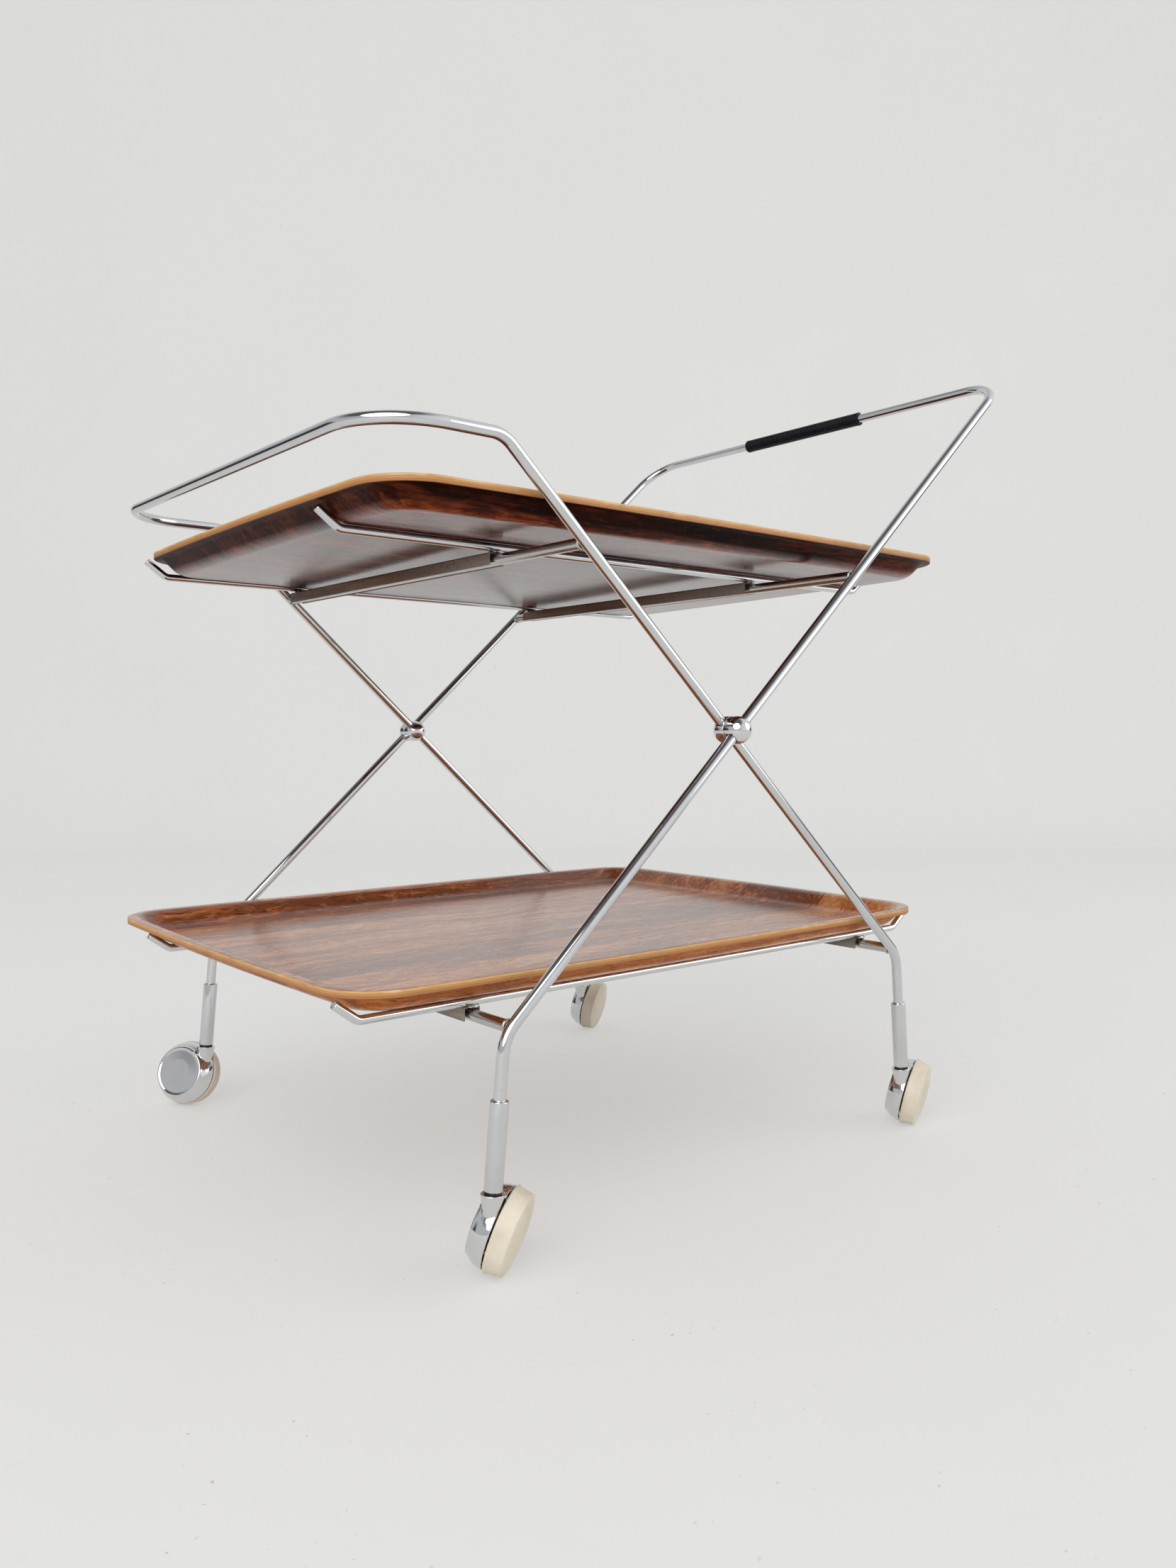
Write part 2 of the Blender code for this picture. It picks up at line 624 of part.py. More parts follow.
def hood(name, parent, wheel_frame):
    """The chrome hood: a bowl beside the wheel, with a tapered boss that holds the stem."""
    back = WHEEL_WIDTH / 2 + HOOD_GAP
    face = back + HOOD_DEPTH
    side_share, belly_share = 0.55, 0.94
    outer = [
        (HOOD_FACE_RADIUS - HOOD_BEAD_RADIUS, -face),
        (HOOD_FACE_RADIUS, -face + HOOD_BEAD_RADIUS * 0.3),
        (HOOD_FACE_RADIUS + HOOD_BEAD_RADIUS, -face + HOOD_BEAD_RADIUS),
        (HOOD_RIM_RADIUS * belly_share, -back - HOOD_DEPTH * side_share),
        (HOOD_RIM_RADIUS, -back),
    ]
    inner = [(radius - HOOD_WALL, height) for radius, height in outer[2:]]
    floor = -face + HOOD_WALL
    profile = list(reversed(outer)) + [(0, -face)] + [(0, floor), (outer[0][0], floor)] + inner
    bowl = turned(name, profile, parent, wheel_frame, CHROME, closed=True)
    boss_top = -WASHER_THICKNESS - 2 * GAP
    middle = boss_top - BOSS_HEIGHT / 2
    bpy.ops.mesh.primitive_cone_add(vertices=SMALL_TURN_STEPS, radius1=BOSS_BOTTOM_RADIUS,
                                    radius2=BOSS_TOP_RADIUS, depth=BOSS_HEIGHT)
    boss = bpy.context.object
    boss.name = f"boss_{name}"
    place(boss, parent, Matrix.Translation((0, 0, middle)), None, cutters)
    join(bowl, boss)
    clear = 2 * WHEEL_RADIUS
    wheel_space = cylinder(f"wheel_space_{name}", clear, clear, parent,
                           wheel_frame @ Matrix.Translation((0, 0, clear / 2 - back)), None,
                           collection=cutters)
    cut(bowl, wheel_space)
    seat = cylinder(f"stem_seat_{name}", BORE_RADIUS, STEM_SEAT_DEPTH + CUT_OVERRUN, parent,
                    Matrix.Translation((0, 0, boss_top + (CUT_OVERRUN - STEM_SEAT_DEPTH) / 2)), None,
                    collection=cutters)
    cut(bowl, seat)
    return boss_top


def leg(frame, side):
    """One leg's sleeve and caster."""
    tag = f"{frame}_{side}"
    foot = empty(f"foot_{tag}", origins[frame], foot_matrix(frame, side, FOOT_DISTANCE[(frame, side)]))
    shoulder = SLEEVE_LENGTH - SLEEVE_CHAMFER_HEIGHT
    profile = [
        (SLEEVE_RADIUS - SLEEVE_CHAMFER_WIDTH, SLEEVE_LENGTH),
        (SLEEVE_RADIUS, shoulder),
        (SLEEVE_RADIUS, 0),
        (BORE_RADIUS, 0),
        (BORE_RADIUS, SLEEVE_LENGTH),
    ]
    turned(f"sleeve_{tag}", profile, foot, Matrix.Identity(4), CHROME, SMALL_TURN_STEPS, closed=True)
    swivel = empty(f"swivel_{tag}", foot, spin_matrix(HEADINGS[(frame, side)], "Z"))
    boss_top = hood(f"caster_hood_{tag}", swivel, WHEEL_LOCAL)
    washer = [
        (WASHER_RADIUS, -GAP),
        (WASHER_RADIUS, -GAP - WASHER_THICKNESS),
        (BORE_RADIUS, -GAP - WASHER_THICKNESS),
        (BORE_RADIUS, -GAP),
    ]
    turned(f"swivel_washer_{tag}", washer, swivel, Matrix.Identity(4), STEEL, SMALL_TURN_STEPS, closed=True)
    low = boss_top - STEM_SEAT_DEPTH + GAP
    cylinder(f"caster_stem_{tag}", ROD_RADIUS, STEM_INSERTION - low, swivel,
             Matrix.Translation((0, 0, (STEM_INSERTION + low) / 2)), STEEL)
    axle_start = -WHEEL_WIDTH / 2 - HOOD_GAP - HOOD_DEPTH + HOOD_WALL + GAP
    axle_end = -WHEEL_WIDTH / 2 + AXLE_BORE_DEPTH - GAP
    cylinder(f"caster_axle_{tag}", AXLE_RADIUS, axle_end - axle_start, swivel,
             WHEEL_LOCAL @ Matrix.Translation((0, 0, (axle_start + axle_end) / 2)), STEEL)
    axle = empty(f"wheel_axis_{tag}", swivel, WHEEL_LOCAL)
    turned(f"caster_wheel_{tag}", wheel_profile(), axle, Matrix.Identity(4), IVORY)


def centre_on_floor():
    """Move the cart so that its box is centred on the origin, with the wheels on the floor."""
    bpy.context.view_layer.update()
    graph = bpy.context.evaluated_depsgraph_get()
    points = []
    for obj in parts.objects:
        if obj.type != "EMPTY":
            shown = obj.evaluated_get(graph)
            mesh = shown.to_mesh()
            points += [shown.matrix_world @ vert.co for vert in mesh.vertices]
            shown.to_mesh_clear()
    low = Vector(min(p[i] for p in points) for i in range(3))
    high = Vector(max(p[i] for p in points) for i in range(3))
    cart.location = (-(low.x + high.x) / 2, -(low.y + high.y) / 2, -low.z)


rod_objects = {"a": curve_to_mesh(frame_a_rod()), "b": curve_to_mesh(frame_b_rod())}
cross_rods()
pivots(rod_objects)
handle_grip()
carriers()
for frame_name, side_name in HEADINGS:
    leg(frame_name, side_name)
centre_on_floor()
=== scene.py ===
"""Folding serving cart: detailed pieces, materials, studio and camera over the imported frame."""
import json
import math
from collections import namedtuple

import bmesh
import bpy
from mathutils import Matrix, Vector


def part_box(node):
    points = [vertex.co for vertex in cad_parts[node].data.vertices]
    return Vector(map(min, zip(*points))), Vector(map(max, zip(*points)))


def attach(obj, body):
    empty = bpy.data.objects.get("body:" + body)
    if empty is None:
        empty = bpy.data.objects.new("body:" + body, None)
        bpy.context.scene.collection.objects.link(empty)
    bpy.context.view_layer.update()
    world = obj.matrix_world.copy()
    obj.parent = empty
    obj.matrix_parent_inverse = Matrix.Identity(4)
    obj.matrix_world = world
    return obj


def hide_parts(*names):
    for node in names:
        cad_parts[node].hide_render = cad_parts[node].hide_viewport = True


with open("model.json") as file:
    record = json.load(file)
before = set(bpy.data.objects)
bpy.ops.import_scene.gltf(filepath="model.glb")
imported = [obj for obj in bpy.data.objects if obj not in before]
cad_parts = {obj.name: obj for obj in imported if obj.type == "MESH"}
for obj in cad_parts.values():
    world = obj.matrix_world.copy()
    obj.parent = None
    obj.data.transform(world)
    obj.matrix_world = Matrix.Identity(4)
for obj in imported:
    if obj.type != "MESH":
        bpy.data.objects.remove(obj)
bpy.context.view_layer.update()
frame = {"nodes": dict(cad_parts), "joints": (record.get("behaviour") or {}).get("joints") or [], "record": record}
record = frame["record"]
joints = {joint["name"]: joint for joint in frame["joints"]}

MM = 0.001

# Rod frames
ROD_RADIUS = 4.0 * MM
ARM_ANGLE = math.radians(42.35)
ARM_SLOPE = math.tan(ARM_ANGLE)
OUTER_ROD_Y = 224.0 * MM
INNER_ROD_Y = 213.5 * MM
FOOT_BEND_X = 205.0 * MM
FOOT_BEND_RADIUS = 28.0 * MM
HANDLE_X = 337.5 * MM
HANDLE_CORNER_RADIUS = 36.0 * MM
LOOP_BEND_X = 196.5 * MM
LOOP_BEND_RADIUS = 22.0 * MM
LOOP_REACH = 90.0 * MM
LOOP_CORNER_RADIUS = 50.0 * MM
LEG_ABOVE_SLEEVE = 27.8 * MM
BEND_STEP_DEGREES = 4.0
BEND_LEAST_STEPS = 6
BALL_RADIUS = 10.0 * MM
BALL_NECK = 5.1 * MM
BALL_EDGE = 0.35 * MM
BALL_BORE_PLAY = 0.35 * MM
SEAM_GAP = 0.15 * MM
WELD_RADIUS = 1.25 * MM
WELD_LUMPS = 0.35 * MM
WELD_INSET = 0.2 * MM

# Grip
GRIP_LENGTH = 147.0 * MM
GRIP_RADIUS = 6.25 * MM
GRIP_RIB_DEPTH = 0.7 * MM
GRIP_RIBS = 44
GRIP_COLLAR = 2.2 * MM
GRIP_EDGE = 0.5 * MM
GRIP_BORE_PLAY = 0.1 * MM
# One rib: share of the pitch, share of the rib's depth
GRIP_RIB_SHAPE = ((0.12, 0.0), (0.30, 0.75), (0.5, 1.0), (0.70, 0.75), (0.88, 0.0))

# Carriers and trays
CHANNEL_WALL = 1.0 * MM
CHANNEL_FOLD_RADIUS = 1.5 * MM
CHANNEL_EDGE = 0.2 * MM
RUST_START_Y = -160.0 * MM
RUST_FULL_Y = 20.0 * MM
RAIL_RADIUS = 3.0 * MM
RAIL_END_ROUND = 0.9 * MM
RAIL_WELD_SIZE = (4.5 * MM, 1.5 * MM, 1.3 * MM)
RAIL_WELD_LUMPS = 0.3 * MM
RAIL_WELD_INSET = 0.3 * MM
RAIL_WELD_LIFT = 0.5 * MM
RAIL_BEND_X = 262.7 * MM
RAIL_HOOK_RUN = 16.0 * MM
RAIL_HOOK_RISE = 12.0 * MM
RAIL_BEND_RADIUS = 9.0 * MM
TRAY_HALF_WIDTH = 208.0 * MM
TRAY_DEPTH = 17.2 * MM
TRAY_PLY = 4.8 * MM
TRAY_CORNER_RADIUS = 42.0 * MM
TRAY_SIDE_BOW = 3.0 * MM
TRAY_WALL_ANGLE = math.radians(45.0)
TRAY_FLOOR_FILLET = 16.0 * MM
TRAY_LIP_FILLET = 5.0 * MM
TRAY_LIP_WIDTH = 5.0 * MM
VENEER_LEAF_WIDTH = 98.0 * MM
# Neighbouring leaves show parts of the pattern that lie up to this far apart
VENEER_LEAF_SHIFT = 3.0
# The wall's painted light and shade, and its oil film, start this far below the floor's mark and are full this far
# above it
WALL_BLEND_BELOW = 3.6 * MM
WALL_BLEND_ABOVE = 0.4 * MM
TRAY_LONG_EDGE = 50.0 * MM
TRAY_LONG_CUTS = 23
TRAY_EDGE_ROUND = 0.45 * MM

# Casters
SLEEVE_RADIUS = 6.0 * MM
SLEEVE_LENGTH = 54.8 * MM
SLEEVE_TOP_EDGE = 0.7 * MM
SLEEVE_FOOT_EDGE = 0.4 * MM
SLEEVE_TOP_CONE = 0.2 * MM
SLEEVE_BORE_PLAY = 0.15 * MM
WHEEL_TRAIL = 18.0 * MM
WHEEL_SIDE_OFFSET = 7.5 * MM
WHEEL_TILT = math.radians(15.0)
WHEEL_CENTRE_DROP = 29.8 * MM
WHEEL_RADIUS = 28.0 * MM
WHEEL_HALF_WIDTH = 6.0 * MM
WHEEL_TREAD_CONE = math.radians(9.0)
WHEEL_CROWN = 3.0 * MM
WHEEL_FRONT_EDGE = 1.1 * MM
WHEEL_BACK_EDGE = 1.3 * MM
WHEEL_FACE_INSET = 1.6 * MM
WHEEL_TREAD_INSET = 0.9 * MM
WHEEL_TREAD_START = 3.2 * MM
# The domed outer face: radius in mm, share of the crown
WHEEL_FACE = ((0.0, 1.0), (6.0, 0.97), (12.0, 0.86), (17.0, 0.62), (21.0, 0.34))
# The hollow back: radius in mm, depth in mm
WHEEL_BACK = ((23.5, 0.0), (22.8, 1.4), (9.0, 1.4), (8.0, 0.0), (0.0, 0.0))
HOOD_GAP = 1.0 * MM
HOOD_DEPTH = 13.0 * MM
HOOD_RIM_RADIUS = 27.0 * MM
HOOD_FACE_RADIUS = 21.5 * MM
HOOD_WALL = 1.4 * MM
# The face is domed in its middle, lower half way out, and has a groove inside its round bead
HOOD_FACE_DOME = 0.6 * MM
HOOD_FACE_SHOULDER = 0.45 * MM
HOOD_GROOVE_INSET = 2.4 * MM
HOOD_GROOVE_DEPTH = 0.1 * MM
HOOD_FACE_BEAD = 1.6 * MM
HOOD_BEAD_INSET = 0.9 * MM
HOOD_FACE_WALL = 2.2 * MM
HOOD_CORNER_INSET = 1.0 * MM
HOOD_CORNER_WALL = 2.8 * MM
HOOD_BELLY_INSET = 1.1 * MM
HOOD_BELLY_SHARE = 0.48
HOOD_VOXEL = 0.5 * MM
# The bowl behind the face: inset from the rim in mm, share of the depth
HOOD_BOWL = ((2.6, 0.70), (1.1, 0.48), (0.3, 0.24), (0.0, 0.0))
BOSS_TOP_RADIUS = 8.0 * MM
BOSS_BOTTOM_RADIUS = 3.5 * MM
BOSS_HEIGHT = 22.0 * MM
BOSS_TOP_DROP = 1.4 * MM

SIDES = {"near": -1.0, "far": 1.0}
MERGE_DISTANCE = 0.004 * MM


def middle(node):
    """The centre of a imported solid's box."""
    low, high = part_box(node)
    return (low + high) / 2


PIVOT_HEIGHT = middle("pivot_pin_near").z
SHIFT = Vector((middle("pivot_pin_near").x, middle("cross_rod_a_top").y, 0.0))


def at(x, y, z):
    """A point given from the pivot's place above the floor."""
    return SHIFT + Vector((x, y, z))


# Modelling helpers

def start():
    """Nothing is selected, so that the next operator acts on the new piece alone."""
    if bpy.context.object and bpy.context.object.mode != "OBJECT":
        bpy.ops.object.mode_set(mode="OBJECT")
    bpy.ops.object.select_all(action="DESELECT")


def use(obj):
    """Only this piece is selected, and it is active."""
    start()
    obj.select_set(True)
    bpy.context.view_layer.objects.active = obj


def pick(obj, kind, test):
    """Select the faces, edges or vertices that pass a test, in edit mode."""
    bpy.ops.mesh.select_mode(type=kind)
    bpy.ops.mesh.select_all(action="DESELECT")
    shape = bmesh.from_edit_mesh(obj.data)
    for item in {"FACE": shape.faces, "EDGE": shape.edges, "VERT": shape.verts}[kind]:
        if test(item):
            item.select_set(True)
    bmesh.update_edit_mesh(obj.data)


def settle(obj, name, matrix=None):
    """Put the piece in its place and leave that place in its mesh."""
    use(obj)
    obj.name = name
    obj.data.name = name
    if matrix is not None:
        obj.matrix_world = matrix @ obj.matrix_world
    bpy.ops.object.transform_apply(location=True, rotation=True, scale=True)
    return obj


def modify(obj, kind, **values):
    """Add a modifier and apply it."""
    use(obj)
    added = obj.modifiers.new("finish", kind)
    for key, value in values.items():
        setattr(added, key, value)
    bpy.ops.object.modifier_apply(modifier=added.name)


def combine(obj, other, operation):
    """A Boolean with another piece, which is used up."""
    modify(obj, "BOOLEAN", operation=operation, object=other, solver="EXACT")
    bpy.data.objects.remove(other, do_unlink=True)


def smooth(obj, degrees):
    """Smooth shading, but for edges sharper than an angle."""
    use(obj)
    bpy.ops.object.shade_smooth_by_angle(angle=math.radians(degrees))


def dress(obj, body, nodes, finish, degrees=34.0):
    """Give a finished piece its shading, material and body, and hide the imported parts it stands for."""
    if degrees:
        smooth(obj, degrees)
    for index, mat in enumerate(finish if isinstance(finish, list) else [finish]):
        if index < len(obj.data.materials):
            obj.data.materials[index] = mat
        else:
            obj.data.materials.append(mat)
    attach(obj, body)
    if nodes:
        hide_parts(*nodes)
    return obj


def bent_rod(name, radius, corners, bends, sides=40, end_round=0.0):
    """A round rod, extruded along its straights and spun round its bends."""
    start()
    heading = (corners[1] - corners[0]).normalized()
    turn_to = heading.to_track_quat("Z", "Y").to_euler()
    bpy.ops.mesh.primitive_circle_add(vertices=sides, radius=radius, fill_type="NGON",
                                      location=corners[0], rotation=turn_to)
    obj = bpy.context.object
    settle(obj, name)
    bpy.ops.object.mode_set(mode="EDIT")
    bpy.ops.mesh.select_mode(type="FACE")
    bpy.ops.mesh.select_all(action="SELECT")
    here = corners[0]
    for before, corner, after, bend in zip(corners, corners[1:], corners[2:], bends):
        back = (before - corner).normalized()
        ahead = (after - corner).normalized()
        turn = math.pi - back.angle(ahead)
        reach = bend * math.tan(turn / 2)
        stop = corner + back * reach
        bpy.ops.mesh.extrude_region_move(TRANSFORM_OT_translate={"value": stop - here})
        centre = corner + (back + ahead).normalized() * (bend / math.cos(turn / 2))
        axis = (-back).cross(ahead).normalized()
        steps = max(BEND_LEAST_STEPS, math.ceil(math.degrees(turn) / BEND_STEP_DEGREES))
        bpy.ops.mesh.spin(steps=steps, angle=-turn, center=centre, axis=axis)
        here = corner + ahead * reach
    bpy.ops.mesh.extrude_region_move(TRANSFORM_OT_translate={"value": corners[-1] - here})
    bpy.ops.mesh.select_all(action="SELECT")
    bpy.ops.mesh.normals_make_consistent(inside=False)
    if end_round:
        pick(obj, "EDGE", lambda edge: any(len(face.verts) > 4 for face in edge.link_faces))
        bpy.ops.mesh.bevel(offset=end_round, segments=4, affect="EDGES")
    bpy.ops.object.mode_set(mode="OBJECT")
    return obj


def turned(name, profile, matrix, steps=72, closed=False):
    """A turned piece: one vertex is extruded along the profile (radius, height), then spun."""
    start()
    bpy.ops.mesh.primitive_plane_add(size=MM)
    obj = bpy.context.object
    bpy.ops.object.mode_set(mode="EDIT")
    bpy.ops.mesh.select_mode(type="VERT")
    bpy.ops.mesh.select_all(action="SELECT")
    bpy.ops.mesh.merge(type="CENTER")
    bpy.ops.transform.translate(value=(profile[0][0], 0, profile[0][1]))
    for here, there in zip(profile, profile[1:]):
        step = (there[0] - here[0], 0, there[1] - here[1])
        bpy.ops.mesh.extrude_vertices_move(TRANSFORM_OT_translate={"value": step})
    if closed:
        last = len(profile) - 1
        pick(obj, "VERT", lambda vert: vert.index in (0, last))
        bpy.ops.mesh.edge_face_add()
    bpy.ops.mesh.select_all(action="SELECT")
    bpy.ops.mesh.spin(steps=steps, angle=math.tau, center=(0, 0, 0), axis=(0, 0, 1))
    bpy.ops.mesh.select_all(action="SELECT")
    bpy.ops.mesh.remove_doubles(threshold=MERGE_DISTANCE)
    bpy.ops.mesh.normals_make_consistent(inside=False)
    bpy.ops.object.mode_set(mode="OBJECT")
    return settle(obj, name, matrix)


def arc(centre, radius, start_angle, end_angle, count):
    """Profile points on an arc, angles in degrees, both ends included."""
    points = []
    for i in range(count + 1):
        turn = math.radians(start_angle + (end_angle - start_angle) * i / count)
        points.append((centre[0] + radius * math.cos(turn), centre[1] + radius * math.sin(turn)))
    return points


def along_y(x, y, z):
    """Lays a piece's Z along the cart's Y, at a point."""
    return Matrix.Translation(at(x, y, z)) @ Matrix.Rotation(-math.pi / 2, 4, "X")


def copy_to(obj, name, matrix):
    """A copy with its own mesh, moved by a matrix."""
    twin = obj.copy()
    twin.data = obj.data.copy()
    bpy.context.scene.collection.objects.link(twin)
    twin.data.transform(matrix)
    twin.name = name
    twin.data.name = name
    return twin


# Material helpers

class NodeTree:
    """A node tree being built: adds nodes and joins them up."""

    def __init__(self, tree):
        self.tree = tree

    def node(self, kind, settings=None, **inputs):
        made = self.tree.nodes.new(kind)
        for key, value in (settings or {}).items():
            setattr(made, key, value)
        for key, value in inputs.items():
            self.feed(made, key, value)
        return made

    def feed(self, made, key, value):
        """Link or set one input, named by its label or, as in i0, by its number."""
        socket = made.inputs[int(key[1:])] if key[0] == "i" and key[1:].isdigit() else made.inputs[key]
        if isinstance(value, bpy.types.NodeSocket):
            self.tree.links.new(value, socket)
        elif socket.type == "RGBA" and len(value) == 3:
            socket.default_value = (*value, 1.0)
        else:
            socket.default_value = value

    def noise(self, vector, scale, detail=4.0, roughness=0.5):
        return self.node("ShaderNodeTexNoise", Vector=vector, Scale=scale, Detail=detail,
                         Roughness=roughness).outputs["Fac"]

    def ramp(self, factor, stops):
        made = self.node("ShaderNodeValToRGB", Fac=factor)
        points = made.color_ramp.elements
        while len(points) < len(stops):
            points.new(1.0)
        for point, (where, colour) in zip(points, stops):
            point.position = where
            point.color = (*colour, 1.0)
        return made.outputs["Color"]

    def mix(self, factor, first, second, blend="MIX"):
        made = self.node("ShaderNodeMix", {"data_type": "RGBA", "blend_type": blend},
                         i0=factor, i6=first, i7=second)
        return made.outputs[2]

    def math(self, operation, *values):
        inputs = {f"i{index}": value for index, value in enumerate(values)}
        return self.node("ShaderNodeMath", {"operation": operation}, **inputs).outputs[0]

    def range(self, value, low, high, to_low, to_high):
        return self.node("ShaderNodeMapRange", i0=value, i1=low, i2=high, i3=to_low, i4=to_high).outputs[0]

    def dot(self, vector, heading):
        return self.node("ShaderNodeVectorMath", {"operation": "DOT_PRODUCT"}, i0=vector,
                         i1=heading).outputs["Value"]


class Finish(NodeTree):
    """A material being built, on the piece's own coordinates."""

    def __init__(self, name):
        self.material = bpy.data.materials.new(name)
        self.material.use_nodes = True
        super().__init__(self.material.node_tree)
        self.shader = self.tree.nodes["Principled BSDF"]
        self.place = self.node("ShaderNodeTexCoord").outputs["Object"]

    def mapped(self, scale=(1, 1, 1), location=(0, 0, 0), source=None):
        return self.node("ShaderNodeMapping", Vector=source or self.place, Scale=scale,
                         Location=location).outputs["Vector"]

    def bump(self, height, distance, strength=1.0, under=None):
        made = self.node("ShaderNodeBump", Height=height, Distance=distance, Strength=strength)
        if under is not None:
            self.feed(made, "Normal", under)
        return made.outputs["Normal"]

    def set(self, **inputs):
        """Feed the shader's own sockets, and give the material back."""
        for key, value in inputs.items():
            self.feed(self.shader, key.replace("_", " "), value)
        return self.material


# Finishes

def chrome_plate(name, tone, dull, pits, tarnish):
    """Aged chrome: soft patches of haze, hairline wear and small dark pits."""
    f = Finish(name)
    patches = f.noise(f.place, 38.0, 5.0, 0.6)
    wear = f.noise(f.place, 420.0, 3.0, 0.7)
    specks = f.range(f.noise(f.place, 1150.0, 2.0, 0.6), 0.62, 0.70, 0.0, 1.0)
    clusters = f.range(f.noise(f.place, 75.0, 3.0, 0.5), 0.62 - pits, 0.74 - pits, 0.0, 1.0)
    pitted = f.math("MULTIPLY", specks, clusters)
    shaded = tuple(part * 0.93 for part in tone)
    bright = tuple(min(1.0, part * 1.03) for part in tone)
    clean = f.ramp(patches, [(0.25, shaded), (0.6, tone), (0.85, bright)])
    f.set(Base_Color=f.mix(pitted, clean, tarnish), Metallic=1.0)
    haze = f.range(patches, 0.35, 0.75, dull * 0.6, dull * 1.5)
    scuffs = f.range(wear, 0.5, 0.8, 0.0, 0.10)
    f.set(Roughness=f.math("ADD", f.math("ADD", haze, scuffs), f.math("MULTIPLY", pitted, 0.3)))
    hairlines = f.bump(wear, 0.02 * MM, 0.25)
    return f.set(Normal=f.bump(f.math("MULTIPLY", pitted, -1.0), 0.08 * MM, 0.6, hairlines))


def galvanised_strip(name):
    """Galvanised channel steel: rust towards the far end, grey metal towards the near one, dark spots."""
    f = Finish(name)
    streaks = f.noise(f.mapped((60.0, 5.0, 60.0)), 1.6, 6.0, 0.65)
    spots = f.noise(f.place, 260.0, 4.0, 0.7)
    rust = f.ramp(streaks, [(0.3, (0.050, 0.015, 0.008)), (0.5, (0.125, 0.048, 0.024)),
                            (0.7, (0.21, 0.115, 0.070))])
    metal = f.ramp(streaks, [(0.3, (0.16, 0.14, 0.11)), (0.7, (0.40, 0.38, 0.33))])
    along = f.node("ShaderNodeSeparateXYZ", Vector=f.place).outputs["Y"]
    ragged = f.math("ADD", along, f.range(streaks, 0.2, 0.8, -80 * MM, 80 * MM))
    base = f.mix(f.range(ragged, RUST_START_Y, RUST_FULL_Y, 0.75, 0.0), rust, metal)
    f.set(Base_Color=f.mix(f.range(spots, 0.58, 0.68, 0.0, 0.7), base, (0.06, 0.034, 0.022)))
    f.set(Metallic=0.3, Roughness=f.range(streaks, 0.3, 0.7, 0.50, 0.32))
    return f.set(Normal=f.bump(spots, 0.05 * MM, 0.4))


def veneer_leaves(f, tray_centre, seed):
    """Veneer leaves side by side: a leaf's tone, how near its seam is, and its straight and swirled grain."""
    centred = f.mapped(location=(-tray_centre.x + seed, -tray_centre.y, 0.0))
    parts = f.node("ShaderNodeSeparateXYZ", Vector=centred).outputs
    waver = f.noise(f.mapped((3.0, 3.0, 3.0), source=centred), 1.0, 2.0)
    drift = f.range(waver, 0.3, 0.7, -4 * MM, 4 * MM)
    across = f.math("DIVIDE", f.math("ADD", parts["Y"], drift), VENEER_LEAF_WIDTH)
    number = f.math("ADD", f.math("FLOOR", across), seed)
    tone = f.node("ShaderNodeTexWhiteNoise", {"noise_dimensions": "1D"}, W=number).outputs["Value"]
    seam = f.math("ABSOLUTE", f.math("SUBTRACT", f.math("FRACT", across), 0.5))
    along = f.math("ADD", parts["X"], f.math("MULTIPLY", tone, VENEER_LEAF_SHIFT))
    straight = f.node("ShaderNodeCombineXYZ", X=along, Y=parts["Y"], Z=parts["Z"]).outputs["Vector"]
    sway = f.noise(f.mapped((5.0, 9.0, 9.0), source=straight), 1.0, 4.0, 0.55)
    push = f.node("ShaderNodeCombineXYZ", Y=f.range(sway, 0.2, 0.8, -30 * MM, 30 * MM),
                  Z=f.range(sway, 0.2, 0.8, -12 * MM, 12 * MM)).outputs["Vector"]
    swirled = f.node("ShaderNodeVectorMath", {"operation": "ADD"}, i0=straight, i1=push).outputs["Vector"]
    return tone, seam, straight, swirled


